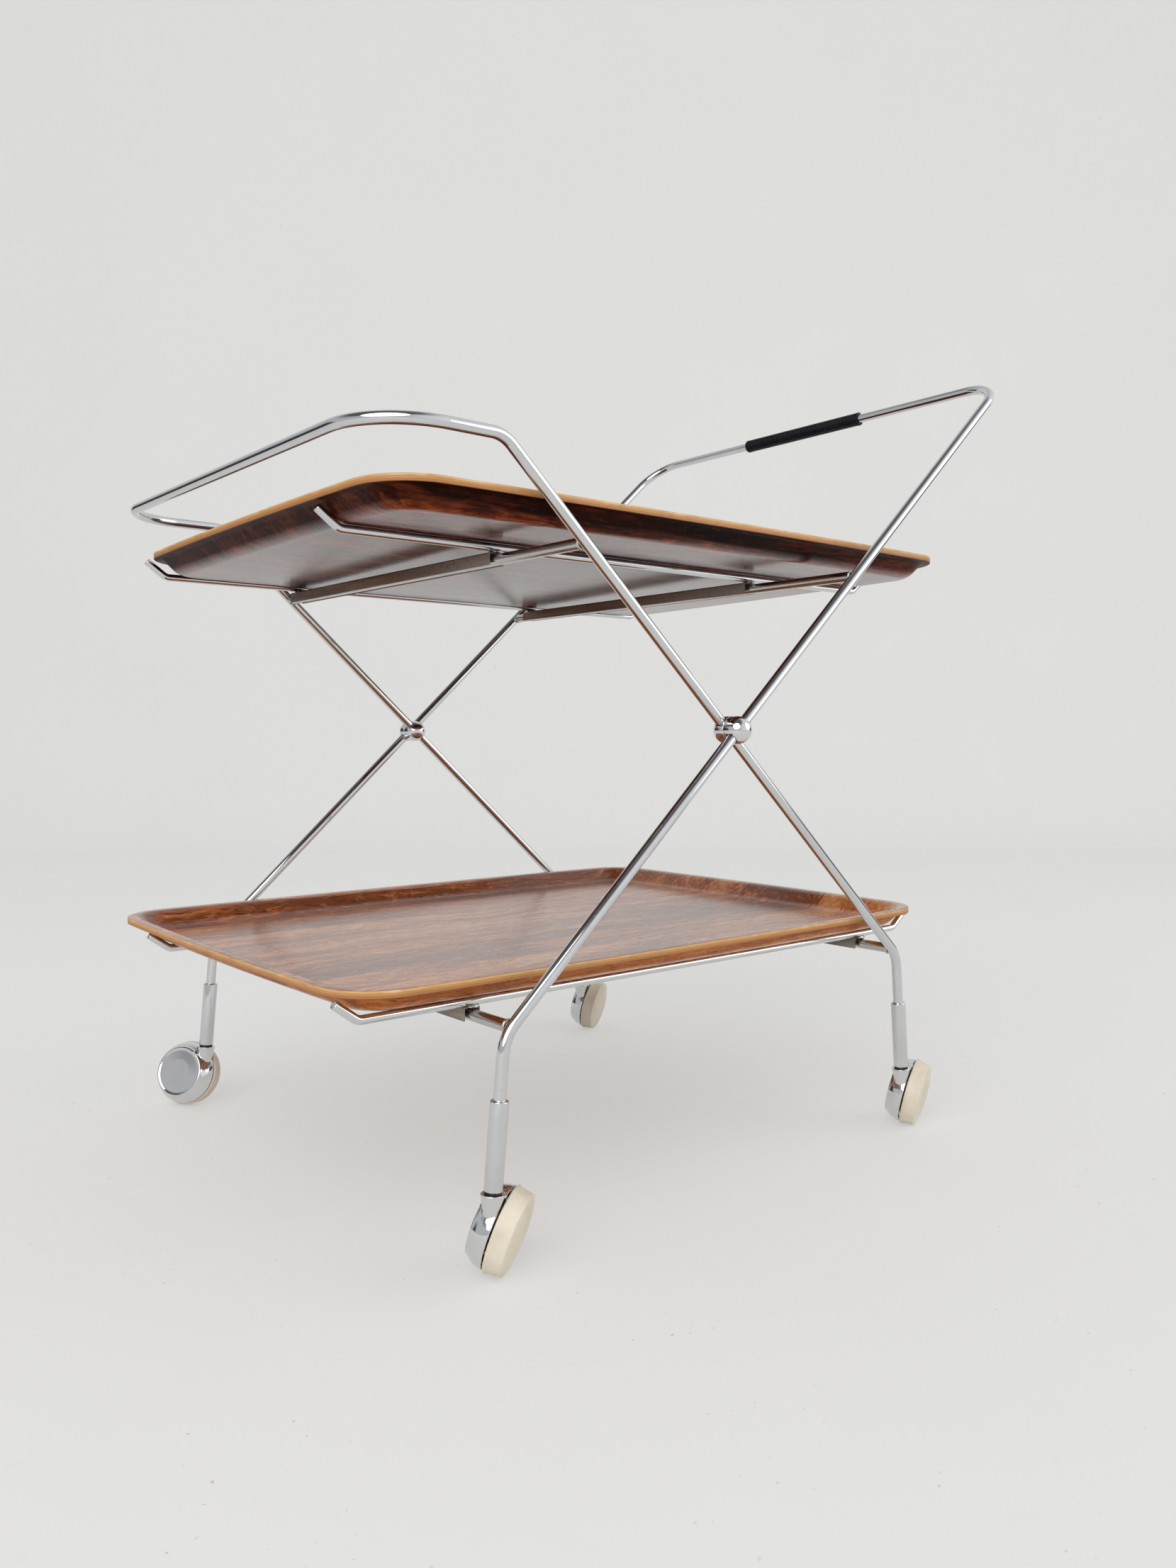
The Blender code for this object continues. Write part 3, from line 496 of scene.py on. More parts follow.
def rosewood_veneer(name, tray_centre, up, seed, palette, skin):
    """Rosewood: figured grain along the cart, black streaks, open pores and an oil film."""
    f = Finish(name)
    tone, seam, straight, swirled = veneer_leaves(f, tray_centre, seed)
    floor_level = tray_centre.dot(up)
    foot, full = floor_level - WALL_BLEND_BELOW, floor_level + WALL_BLEND_ABOVE
    climb = f.range(f.dot(f.place, up), foot, full, 0.0, 1.0)
    bands = f.noise(f.mapped((2.6, 30.0, 30.0), source=swirled), 1.0, 6.0, 0.60)
    lines = f.noise(f.mapped((9.0, 210.0, 210.0), source=swirled), 1.0, 5.0, 0.68)
    dashes = f.noise(f.mapped((60.0, 1300.0, 1300.0), source=swirled), 1.0, 2.0, 0.5)
    pores = f.range(dashes, 0.54, 0.68, 0.0, 0.80)
    blush = f.noise(f.mapped((2.0, 8.0, 8.0), source=straight), 1.0, 3.0, 0.5)
    mottle = f.noise(f.mapped((75.0, 260.0, 260.0), source=swirled), 1.0, 4.0, 0.65)
    figure = f.math("ADD", f.math("MULTIPLY", bands, 0.52), f.math("MULTIPLY", lines, 0.48))
    figure = f.math("ADD", figure, f.range(tone, 0.0, 1.0, -0.050, 0.055))
    colour = f.ramp(figure, list(zip((0.40, 0.455, 0.50, 0.555, 0.65), palette)))
    colour = f.mix(f.range(blush, 0.50, 0.68, 0.0, 0.45), colour, palette.red)
    colour = f.mix(f.range(mottle, 0.45, 0.72, 0.0, 0.55), colour, palette.dark)
    colour = f.mix(f.range(mottle, 0.44, 0.28, 0.0, 0.40), colour, palette.pale)
    colour = f.mix(f.range(seam, 0.488, 0.498, 0.0, 0.55), colour, palette.black)
    # Painted light and shade: the walls are blended towards a tone of their own, set apart from the floor of the
    # same sheet
    colour = f.mix(f.math("MULTIPLY", climb, skin.wall_share), colour, skin.wall_tone)
    f.set(Base_Color=f.mix(pores, colour, (0.018, 0.006, 0.004)))
    f.set(Roughness=f.math("ADD", f.range(lines, 0.3, 0.7, 0.30, 0.40), f.math("MULTIPLY", pores, 0.12)))
    film = skin.floor_film
    if skin.wall_film != skin.floor_film:
        film = f.range(climb, 0.0, 1.0, skin.floor_film, skin.wall_film)
    f.set(Specular_IOR_Level=0.04, Coat_IOR=1.42, Coat_Roughness=0.16, Coat_Weight=film)
    f.set(Coat_Normal=f.bump(f.math("SUBTRACT", f.math("MULTIPLY", lines, 0.5), pores), 0.05 * MM, 0.35))
    return f.set(Normal=f.bump(f.math("SUBTRACT", f.math("MULTIPLY", lines, 0.35), pores), 0.06 * MM, 0.5))


def ply_edge(name, floor, up):
    """The bare ply edge: honey-coloured layers with thin darker glue lines, worn pale along the top; the lower
    layers are darkened to orange-brown as painted shade.
    """
    f = Finish(name)
    rim_foot = floor.dot(up) + TRAY_DEPTH - 2 * TRAY_PLY
    wobble = f.range(f.noise(f.place, 18.0, 3.0), 0.3, 0.7, -0.12 * MM, 0.12 * MM)
    above = f.math("ADD", f.math("SUBTRACT", f.dot(f.place, up), rim_foot), wobble)
    level = f.math("DIVIDE", above, TRAY_PLY)
    # Painted shade: the lower layers of the edge are darker and orange-brown, beside the real glue lines
    ply_tones_and_shade = f.ramp(level, [
        (0.0, (0.17, 0.062, 0.018)), (0.10, (0.35, 0.140, 0.038)), (0.30, (0.42, 0.180, 0.050)),
        (0.34, (0.22, 0.085, 0.026)), (0.38, (0.44, 0.200, 0.056)), (0.62, (0.50, 0.250, 0.078)),
        (0.66, (0.27, 0.110, 0.034)), (0.70, (0.56, 0.310, 0.105)), (0.93, (0.60, 0.350, 0.130)),
        (1.0, (0.42, 0.220, 0.085))])
    fibres = f.noise(f.mapped((90.0, 90.0, 900.0)), 1.0, 4.0, 0.6)
    stain = f.noise(f.place, 24.0, 4.0, 0.6)
    handled = f.range(f.noise(f.place, 33.0, 5.0, 0.65), 0.52, 0.68, 0.0, 0.8)
    rubbed = f.math("MULTIPLY", f.range(level, 0.55, 0.95, 0.0, 0.8), handled)
    colour = f.mix(f.range(fibres, 0.45, 0.75, 0.0, 0.40), ply_tones_and_shade, (0.30, 0.115, 0.034))
    colour = f.mix(f.range(stain, 0.60, 0.76, 0.0, 0.50), colour, (0.15, 0.055, 0.020))
    colour = f.mix(rubbed, colour, (0.80, 0.60, 0.36))
    f.set(Base_Color=colour, Roughness=f.range(fibres, 0.3, 0.7, 0.38, 0.55))
    return f.set(Normal=f.bump(fibres, 0.10 * MM, 0.5))


def ribbed_rubber(name):
    """Black moulded grip, slightly shiny on its ribs and dusty between them."""
    f = Finish(name)
    grain = f.noise(f.place, 900.0, 3.0, 0.6)
    dust = f.noise(f.place, 60.0, 4.0, 0.6)
    f.set(Base_Color=f.ramp(dust, [(0.35, (0.003, 0.004, 0.006)), (0.7, (0.009, 0.010, 0.013))]))
    f.set(Roughness=f.range(dust, 0.3, 0.7, 0.30, 0.44), Specular_IOR_Level=0.16)
    return f.set(Normal=f.bump(grain, 0.04 * MM, 0.5))


def ivory_plastic(name):
    """Yellowed wheel plastic with faint mottling, rolled-in dirt and small scuffs."""
    f = Finish(name)
    cloud = f.noise(f.place, 45.0, 4.0, 0.6)
    dirt = f.noise(f.place, 520.0, 4.0, 0.7)
    base = f.ramp(cloud, [(0.3, (0.60, 0.53, 0.41)), (0.5, (0.67, 0.60, 0.48)), (0.7, (0.71, 0.65, 0.55))])
    f.set(Base_Color=f.mix(f.range(dirt, 0.60, 0.74, 0.0, 0.45), base, (0.36, 0.29, 0.20)))
    f.set(Roughness=f.range(dirt, 0.3, 0.7, 0.36, 0.50), Subsurface_Weight=0.08)
    f.set(Subsurface_Radius=(4 * MM, 3 * MM, 2 * MM))
    return f.set(Normal=f.bump(dirt, 0.05 * MM, 0.35))


def dark_steel(name):
    """Oiled dark steel of the hidden pins and the swivel rings."""
    f = Finish(name)
    grime = f.noise(f.place, 300.0, 4.0, 0.6)
    f.set(Base_Color=f.ramp(grime, [(0.3, (0.05, 0.045, 0.04)), (0.7, (0.13, 0.12, 0.11))]), Metallic=1.0)
    return f.set(Roughness=f.range(grime, 0.3, 0.7, 0.38, 0.6), Normal=f.bump(grime, 0.04 * MM, 0.4))


CHROME = chrome_plate("aged_chrome", (0.66, 0.67, 0.675), 0.050, 0.0, (0.17, 0.13, 0.10))
CROSS_CHROME = chrome_plate("pitted_chrome", (0.52, 0.515, 0.49), 0.15, 0.12, (0.10, 0.07, 0.05))
HOOD_CHROME = chrome_plate("hood_chrome", (0.70, 0.71, 0.715), 0.045, -0.02, (0.30, 0.26, 0.22))
ZINC = galvanised_strip("galvanised_channel")
RUBBER = ribbed_rubber("black_grip")
IVORY = ivory_plastic("ivory_wheel")
STEEL = dark_steel("dark_steel_pins")


# Veneer colours, from the black streaks to the pale wood
Palette = namedtuple("Palette", "black dark middle red pale")
# One face of a tray: the oil film on its floor and its wall, and the tone painted over the wall as its light and
# shade, with its share
Skin = namedtuple("Skin", "floor_film wall_film wall_tone wall_share")
# Painted shade: the upper tray's rosewood is made far darker than the lower tray's, for that tray's
# downward-facing faces
SHADED_ROSEWOOD = Palette((0.002, 0.001, 0.001), (0.006, 0.002, 0.001), (0.026, 0.004, 0.002),
                        (0.130, 0.016, 0.006), (0.330, 0.075, 0.026))
WARM_ROSEWOOD = Palette((0.016, 0.005, 0.003), (0.095, 0.020, 0.007), (0.400, 0.110, 0.026),
                        (0.660, 0.250, 0.074), (0.800, 0.440, 0.200))
# The wall tones are painted light and shade: dark red on the upper tray's inner walls, nearly black on its outer
# ones, warm brown on the lower tray's
UPPER_INSIDE = Skin(0.35, 0.35, (0.10, 0.024, 0.008), 0.3)
UPPER_UNDERSIDE = Skin(1.0, 0.0, (0.008, 0.002, 0.001), 0.68)
LOWER_INSIDE = Skin(0.95, 1.0, (0.36, 0.110, 0.042), 0.4)
LOWER_UNDERSIDE = Skin(1.0, 0.0, (0.44, 0.125, 0.026), 0.65)


# The two rod frames

def leg_foot(frame_key, side):
    """The hidden lower end of a frame's rod, inside its sleeve."""
    swivel = joints[f"caster_swivel_{frame_key}_{side}"]
    return Vector(swivel["pos_m"]) + Vector(swivel["axis"]) * LEG_ABOVE_SLEEVE


def frame_rods():
    """Each frame is one rod bent from foot to foot: frame a over the push handle, frame b round the loop."""
    bend_z = PIVOT_HEIGHT - FOOT_BEND_X * ARM_SLOPE
    handle_z = PIVOT_HEIGHT + HANDLE_X * ARM_SLOPE
    loop_z = PIVOT_HEIGHT + LOOP_BEND_X * ARM_SLOPE
    routes = {
        "a": (OUTER_ROD_Y, [(-FOOT_BEND_X, bend_z, FOOT_BEND_RADIUS),
                            (HANDLE_X, handle_z, HANDLE_CORNER_RADIUS)]),
        "b": (INNER_ROD_Y, [(FOOT_BEND_X, bend_z, FOOT_BEND_RADIUS),
                            (-LOOP_BEND_X, loop_z, LOOP_BEND_RADIUS),
                            (-LOOP_BEND_X - LOOP_REACH, loop_z, LOOP_CORNER_RADIUS)]),
    }
    for key, (side_y, route) in routes.items():
        corners = [leg_foot(key, "near")]
        corners += [at(x, -side_y, z) for x, z, _ in route]
        corners += [at(x, side_y, z) for x, z, _ in reversed(route)]
        corners.append(leg_foot(key, "far"))
        bends = [bend for _, _, bend in route] + [bend for _, _, bend in reversed(route)]
        obj = bent_rod(f"bent_rod_{key}", ROD_RADIUS, corners, bends, 48)
        dress(obj, f"frame_{key}", [f"frame_{key}_rod"], CHROME)


def roughen(lumps, passes, seed):
    """Make the selected bead lumpy, and leave edit mode."""
    bpy.ops.transform.vertex_random(offset=lumps, uniform=0.1, normal=0.9, seed=seed)
    bpy.ops.mesh.vertices_smooth(factor=0.5, repeat=passes)
    bpy.ops.object.mode_set(mode="OBJECT")


def weld_bead(name, x, y, z, outward):
    """A lumpy ring of weld where a cross rod meets a side rod."""
    start()
    bpy.ops.mesh.primitive_torus_add(major_segments=36, minor_segments=14, minor_radius=WELD_RADIUS,
                                     major_radius=ROD_RADIUS * 0.92)
    obj = bpy.context.object
    bpy.ops.object.mode_set(mode="EDIT")
    bpy.ops.mesh.select_all(action="SELECT")
    roughen(WELD_LUMPS, 3, int(abs(x * 1000)) + (3 if outward > 0 else 8))
    return settle(obj, name, along_y(x, y, z))


def cross_rods():
    """Each frame's two cross rods run to the side rods' inner faces, with a weld bead at each end."""
    for key, side_y in (("a", OUTER_ROD_Y), ("b", INNER_ROD_Y)):
        half = side_y - ROD_RADIUS
        for level in ("top", "bottom"):
            node = f"cross_rod_{key}_{level}"
            where = middle(node) - SHIFT
            ends = [at(where.x, -half, where.z), at(where.x, half, where.z)]
            rod = bent_rod(f"tie_rod_{key}_{level}", ROD_RADIUS, ends, [])
            dress(rod, f"frame_{key}", [node], CROSS_CHROME)
            for side, sign in SIDES.items():
                name = f"weld_bead_{key}_{level}_{side}"
                bead = weld_bead(name, where.x, sign * (half - WELD_INSET), where.z, sign)
                dress(bead, f"frame_{key}", [], CROSS_CHROME, 60.0)


def pivot_balls():
    """Half balls with a short straight neck each, drilled for their own rods and parted by a thin seam."""
    seam_y = (OUTER_ROD_Y + INNER_ROD_Y) / 2
    profile = [(0.0, BALL_NECK + BALL_RADIUS)] + arc((0, BALL_NECK), BALL_RADIUS, 88, 0, 20)
    profile += arc((BALL_RADIUS - BALL_EDGE, BALL_EDGE), BALL_EDGE, 0, -90, 3) + [(0.0, 0.0)]
    for side, sign in SIDES.items():
        for key, part, outward, rod_y, slope in (("a", "outer", sign, OUTER_ROD_Y, -1.0),
                                                 ("b", "inner", -sign, INNER_ROD_Y, 1.0)):
            seam = at(0, sign * seam_y + outward * SEAM_GAP, PIVOT_HEIGHT)
            facing = Matrix.Translation(seam) @ Matrix.Rotation(-outward * math.pi / 2, 4, "X")
            ball = turned(f"half_ball_{part}_{side}", profile, facing, 64)
            start()
            bpy.ops.mesh.primitive_cylinder_add(vertices=48, radius=ROD_RADIUS + BALL_BORE_PLAY,
                                                depth=4 * BALL_RADIUS)
            lay = Matrix.Translation(at(0, sign * rod_y, PIVOT_HEIGHT)) @ Matrix.Rotation(
                math.pi / 2 + slope * ARM_ANGLE, 4, "Y")
            drill = settle(bpy.context.object, "drill", lay)
            combine(ball, drill, "DIFFERENCE")
            dress(ball, f"frame_{key}", [f"ball_{part}_{side}"], HOOD_CHROME, 40.0)


def grip():
    """The ribbed grip: round ribs close together and a plain collar at each end."""
    root = GRIP_RADIUS - GRIP_RIB_DEPTH
    bore = ROD_RADIUS + GRIP_BORE_PLAY
    half = GRIP_LENGTH / 2
    pitch = 2 * (half - GRIP_COLLAR) / GRIP_RIBS
    profile = [(GRIP_RADIUS - GRIP_EDGE, half), (GRIP_RADIUS, half - GRIP_EDGE),
               (GRIP_RADIUS, half - GRIP_COLLAR)]
    for i in range(GRIP_RIBS):
        top = half - GRIP_COLLAR - i * pitch
        for share, lift in GRIP_RIB_SHAPE:
            profile.append((root + GRIP_RIB_DEPTH * lift, top - share * pitch))
    profile += [(GRIP_RADIUS, -half + GRIP_COLLAR), (GRIP_RADIUS, -half + GRIP_EDGE),
                (GRIP_RADIUS - GRIP_EDGE, -half), (bore, -half), (bore, half)]
    centre = middle("handle_grip") - SHIFT
    obj = turned("ribbed_grip", profile, along_y(centre.x, centre.y, centre.z), 48, closed=True)
    dress(obj, "frame_a", ["handle_grip"], RUBBER, 50.0)


# The carriers

def channels(level):
    """Folded strips, open below: a box without its underside and ends, with rounded folds."""
    for hand in ("left", "right"):
        node = f"{level}_channel_{hand}"
        low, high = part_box(node)
        start()
        bpy.ops.mesh.primitive_cube_add(size=1.0, location=(low + high) / 2, scale=high - low)
        obj = settle(bpy.context.object, f"hooked_{node}")
        bpy.ops.object.mode_set(mode="EDIT")
        pick(obj, "FACE", lambda face: face.normal.z < -0.9 or abs(face.normal.y) > 0.9)
        bpy.ops.mesh.delete(type="FACE")
        pick(obj, "EDGE", lambda edge: all(v.co.z > high.z - MM for v in edge.verts)
             and abs(edge.verts[0].co.y - edge.verts[1].co.y) > MM)
        bpy.ops.mesh.bevel(offset=CHANNEL_FOLD_RADIUS, segments=5, affect="EDGES")
        bpy.ops.object.mode_set(mode="OBJECT")
        modify(obj, "SOLIDIFY", thickness=CHANNEL_WALL, offset=-1.0, use_even_offset=True)
        modify(obj, "BEVEL", width=CHANNEL_EDGE, segments=2, limit_method="ANGLE",
               angle_limit=math.radians(60.0))
        dress(obj, f"{level}_carrier", [node], ZINC, 30.0)


def rail_weld(name, spot, seed):
    """A long low bead of weld between a rail and a channel."""
    start()
    bpy.ops.mesh.primitive_uv_sphere_add(segments=20, ring_count=12, radius=1.0)
    obj = bpy.context.object
    bpy.ops.object.mode_set(mode="EDIT")
    bpy.ops.mesh.select_all(action="SELECT")
    bpy.ops.transform.resize(value=RAIL_WELD_SIZE)
    roughen(RAIL_WELD_LUMPS, 2, seed)
    return settle(obj, name, Matrix.Translation(spot))


def rails(level):
    """Long wires with both ends turned up, and the small weld beads that hold them on the channels."""
    for side in SIDES:
        node = f"{level}_rail_{side}"
        low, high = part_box(node)
        x = (low.x + high.x) / 2
        y = (low.y + high.y) / 2
        z = low.z + RAIL_RADIUS
        tip = RAIL_BEND_X + RAIL_HOOK_RUN
        corners = [Vector((x - tip, y, z + RAIL_HOOK_RISE)), Vector((x - RAIL_BEND_X, y, z)),
                   Vector((x + RAIL_BEND_X, y, z)), Vector((x + tip, y, z + RAIL_HOOK_RISE))]
        rail = bent_rod(f"turned_up_{node}", RAIL_RADIUS, corners, [RAIL_BEND_RADIUS] * 2, 32, RAIL_END_ROUND)
        dress(rail, f"{level}_carrier", [node], CHROME)
        for hand in ("left", "right"):
            channel_low, channel_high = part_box(f"{level}_channel_{hand}")
            centre_x = (channel_low.x + channel_high.x) / 2
            for face, sign, offset in (("in", -1.0, 5), ("out", 1.0, 2)):
                spot = (centre_x, y + sign * (RAIL_RADIUS - RAIL_WELD_INSET), channel_high.z + RAIL_WELD_LIFT)
                name = f"rail_weld_{level}_{side}_{hand}_{face}"
                bead = rail_weld(name, spot, int(abs(y) * 1000) + offset)
                dress(bead, f"{level}_carrier", [], CROSS_CHROME, 60.0)


# The trays

def tray_insets():
    """The tray's section as inset steps from the rim inwards: (inset so far, drop so far)."""
    angle = TRAY_WALL_ANGLE
    rise = TRAY_DEPTH - TRAY_PLY
    fillets = TRAY_FLOOR_FILLET + TRAY_LIP_FILLET
    lift = fillets * (1 - math.cos(angle))
    run = fillets * math.sin(angle) + (rise - lift) / math.tan(angle) + TRAY_LIP_WIDTH
    steps = [(0.0, 0.0)]
    for i in range(6):
        turn = angle * i / 5
        inset = TRAY_LIP_WIDTH + TRAY_LIP_FILLET * math.sin(turn)
        steps.append((inset, TRAY_LIP_FILLET * (1 - math.cos(turn))))
    for i in range(9):
        turn = angle * (1 - i / 8)
        inset = run - TRAY_FLOOR_FILLET * math.sin(turn)
        steps.append((inset, rise - TRAY_FLOOR_FILLET * (1 - math.cos(turn))))
    return steps


def rim_outline(obj, half_x, half_y):
    """The rim's outline: a rectangle with round corners whose sides bow out a little."""
    bpy.ops.mesh.select_all(action="SELECT")
    bpy.ops.mesh.bevel(offset=TRAY_CORNER_RADIUS, segments=16, affect="VERTICES")
    bpy.ops.mesh.select_all(action="SELECT")
    bpy.ops.mesh.delete(type="ONLY_FACE")
    pick(obj, "EDGE", lambda edge: edge.calc_length() > TRAY_LONG_EDGE)
    bpy.ops.mesh.subdivide(number_cuts=TRAY_LONG_CUTS)
    shape = bmesh.from_edit_mesh(obj.data)
    straight_x, straight_y = half_x - TRAY_CORNER_RADIUS, half_y - TRAY_CORNER_RADIUS
    for vert in shape.verts:
        if abs(vert.co.x) < straight_x:
            vert.co.y += math.copysign(TRAY_SIDE_BOW * (1 - (vert.co.x / straight_x) ** 2), vert.co.y)
        elif abs(vert.co.y) < straight_y:
            vert.co.x += math.copysign(TRAY_SIDE_BOW * (1 - (vert.co.y / straight_y) ** 2), vert.co.x)
    bmesh.update_edit_mesh(obj.data)


def press_down(obj):
    """Fill the rim's outline with one face that looks up, and inset it step by step down to the floor."""
    bpy.ops.mesh.select_all(action="SELECT")
    bpy.ops.mesh.edge_face_add()
    bpy.ops.mesh.select_mode(type="FACE")
    bpy.ops.mesh.select_all(action="SELECT")
    bpy.ops.mesh.normals_make_consistent(inside=False)
    shape = bmesh.from_edit_mesh(obj.data)
    shape.faces.ensure_lookup_table()
    if shape.faces[0].normal.z < 0:
        bpy.ops.mesh.flip_normals()
    steps = tray_insets()
    for (inset, drop), (next_inset, next_drop) in zip(steps, steps[1:]):
        bpy.ops.mesh.inset(thickness=next_inset - inset, depth=-(next_drop - drop), use_even_offset=True)


def tray(level, seed, palette, inside, underside):
    """A moulded tray: its rim, wall and floor as one sheet, thickened, with veneer on both faces."""
    low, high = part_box(f"{level}_tray")
    floor = next(mount for mount in record["mounts"] if mount["name"] == f"{level}_tray_floor")
    centre, up = Vector(floor["pos_m"]), Vector(floor["axis"])
    half_x = (high.x - low.x) / 2 - TRAY_SIDE_BOW
    half_y = TRAY_HALF_WIDTH - TRAY_SIDE_BOW
    name = f"moulded_{level}_tray"
    start()
    bpy.ops.mesh.primitive_plane_add(size=2.0)
    obj = bpy.context.object
    obj.scale = (half_x, half_y, 1.0)
    settle(obj, name)
    bpy.ops.object.mode_set(mode="EDIT")
    rim_outline(obj, half_x, half_y)
    press_down(obj)
    bpy.ops.object.mode_set(mode="OBJECT")
    lean = Vector((0, 0, 1)).rotation_difference(up).to_matrix().to_4x4()
    rim = Matrix.Translation((0, 0, TRAY_DEPTH - 2 * TRAY_PLY))
    settle(obj, name, Matrix.Translation(centre) @ lean @ rim)
    veneer = rosewood_veneer(f"rosewood_{level}", centre, up, seed, palette, inside)
    edge = ply_edge(f"ply_edge_{level}", centre, up)
    back = rosewood_veneer(f"rosewood_{level}_back", centre, up, seed, palette, underside)
    for material in (veneer, edge, back):
        obj.data.materials.append(material)
    modify(obj, "SOLIDIFY", thickness=TRAY_PLY, offset=1.0, use_even_offset=True, material_offset_rim=1)
    modify(obj, "BEVEL", width=TRAY_EDGE_ROUND, segments=3, limit_method="ANGLE", material=1,
           angle_limit=math.radians(55.0))
    use(obj)
    bpy.ops.object.mode_set(mode="EDIT")
    pick(obj, "FACE", lambda face: face.material_index == 0 and face.normal.dot(up) < -0.3)
    obj.active_material_index = 2
    bpy.ops.object.material_slot_assign()
    bpy.ops.object.mode_set(mode="OBJECT")
    dress(obj, f"{level}_tray_body", [f"{level}_tray"], [veneer, edge, back], 40.0)


# The casters

def wheel_place():
    """The wheel's own frame, seen from the swivel's: Z is the wheel's axis, its free face towards +Z."""
    centre = Matrix.Translation((WHEEL_TRAIL, -WHEEL_SIDE_OFFSET, -WHEEL_CENTRE_DROP))
    return centre @ Matrix.Rotation(math.pi / 2 + WHEEL_TILT, 4, "X")


def swivel_place(tag):
    """A swivel's frame: Z up the leg and X the way its wheel trails."""
    swivel = joints[f"caster_swivel_{tag}"]
    spin = joints[f"wheel_spin_{tag}"]
    up = Vector(swivel["axis"]).normalized()
    ahead = up.cross(Vector(spin["axis"])).normalized()
    side = up.cross(ahead)
    matrix = Matrix((ahead, side, up)).transposed().to_4x4()
    matrix.translation = Vector(swivel["pos_m"])
    return matrix


def hood_pattern():
    """The hood in the swivel's frame: a bowl beside the wheel, blended into the tapered boss."""
    back = WHEEL_HALF_WIDTH + HOOD_GAP
    face = back + HOOD_DEPTH
    outer = [(0.0, -face - HOOD_FACE_DOME), (HOOD_FACE_RADIUS * 0.5, -face - HOOD_FACE_SHOULDER),
             (HOOD_FACE_RADIUS - HOOD_GROOVE_INSET, -face + HOOD_GROOVE_DEPTH)]
    bead_centre = (HOOD_FACE_RADIUS - HOOD_BEAD_INSET, -face + HOOD_FACE_BEAD - HOOD_FACE_DOME)
    outer += arc(bead_centre, HOOD_FACE_BEAD, -95, 0, 7)
    outer += [(HOOD_RIM_RADIUS - inset * MM, -back - HOOD_DEPTH * share) for inset, share in HOOD_BOWL]
    inner_radius = HOOD_RIM_RADIUS - HOOD_WALL
    inner = [(inner_radius, -back), (inner_radius - HOOD_BELLY_INSET, -back - HOOD_DEPTH * HOOD_BELLY_SHARE),
             (HOOD_FACE_RADIUS - HOOD_CORNER_INSET, -face + HOOD_CORNER_WALL), (0.0, -face + HOOD_FACE_WALL)]
    place = wheel_place()
    bowl = turned("hood_pattern", outer + inner, place, 96)
    start()
    bpy.ops.mesh.primitive_cone_add(vertices=64, radius1=BOSS_BOTTOM_RADIUS, radius2=BOSS_TOP_RADIUS,
                                    depth=BOSS_HEIGHT)
    hang = Matrix.Translation((0, 0, -BOSS_TOP_DROP - BOSS_HEIGHT / 2))
    boss = settle(bpy.context.object, "boss", hang)
    bpy.ops.object.mode_set(mode="EDIT")
    bpy.ops.mesh.select_all(action="SELECT")
    bpy.ops.mesh.bisect(plane_co=place @ Vector((0, 0, -back)), plane_no=place.to_3x3() @ Vector((0, 0, 1)),
                        use_fill=True, clear_outer=True)
    bpy.ops.object.mode_set(mode="OBJECT")
    combine(bowl, boss, "UNION")
    modify(bowl, "REMESH", mode="VOXEL", voxel_size=HOOD_VOXEL, use_smooth_shade=True)
    modify(bowl, "SMOOTH", factor=0.5, iterations=7)
    return bowl


def wheel_pattern():
    """The wheel in its own frame: a cone-shaped tread, a crisp edge and a low domed outer face."""
    half = WHEEL_HALF_WIDTH
    small = WHEEL_RADIUS - 2 * half * math.tan(WHEEL_TREAD_CONE)
    profile = [(radius * MM, half + WHEEL_CROWN * share) for radius, share in WHEEL_FACE]
    profile += [(small - WHEEL_FACE_INSET, half + WHEEL_CROWN * 0.10)]
    profile += arc((small - WHEEL_FRONT_EDGE, half - WHEEL_FRONT_EDGE), WHEEL_FRONT_EDGE, 75, 10, 5)
    profile += [(WHEEL_RADIUS - WHEEL_TREAD_INSET, -half + WHEEL_TREAD_START)]
    profile += arc((WHEEL_RADIUS - WHEEL_BACK_EDGE, -half + WHEEL_BACK_EDGE), WHEEL_BACK_EDGE, 5, -90, 6)
    profile += [(radius * MM, -half + depth * MM) for radius, depth in WHEEL_BACK]
    return turned("wheel_pattern", profile, Matrix.Identity(4), 112)


def casters():
    """At each leg: a hood and a wheel copied from one pattern each, and the sleeve above them."""
    hood = hood_pattern()
    wheel = wheel_pattern()
    bore = ROD_RADIUS + SLEEVE_BORE_PLAY
    profile = [(bore, SLEEVE_LENGTH - SLEEVE_TOP_CONE), (SLEEVE_RADIUS - SLEEVE_TOP_EDGE, SLEEVE_LENGTH)]
    shoulder = (SLEEVE_RADIUS - SLEEVE_TOP_EDGE, SLEEVE_LENGTH - SLEEVE_TOP_EDGE)
    profile += arc(shoulder, SLEEVE_TOP_EDGE, 80, 0, 5)
    profile += arc((SLEEVE_RADIUS - SLEEVE_FOOT_EDGE, SLEEVE_FOOT_EDGE), SLEEVE_FOOT_EDGE, 0, -90, 4)
    profile += [(bore, 0.0)]
    for key in "ab":
        for side in SIDES:
            tag = f"{key}_{side}"
            place = swivel_place(tag)
            shell = copy_to(hood, f"hood_shell_{tag}", place)
            dress(shell, f"caster_{tag}", [f"caster_hood_{tag}"], HOOD_CHROME, 0)
            disc = copy_to(wheel, f"ivory_wheel_{tag}", place @ wheel_place())
            dress(disc, f"wheel_{tag}", [f"caster_wheel_{tag}"], IVORY, 30.0)
            sleeve = turned(f"leg_sleeve_{tag}", profile, place, 48, closed=True)
            dress(sleeve, f"frame_{key}", [f"sleeve_{tag}"], CHROME)
    for pattern in (hood, wheel):
        bpy.data.objects.remove(pattern, do_unlink=True)


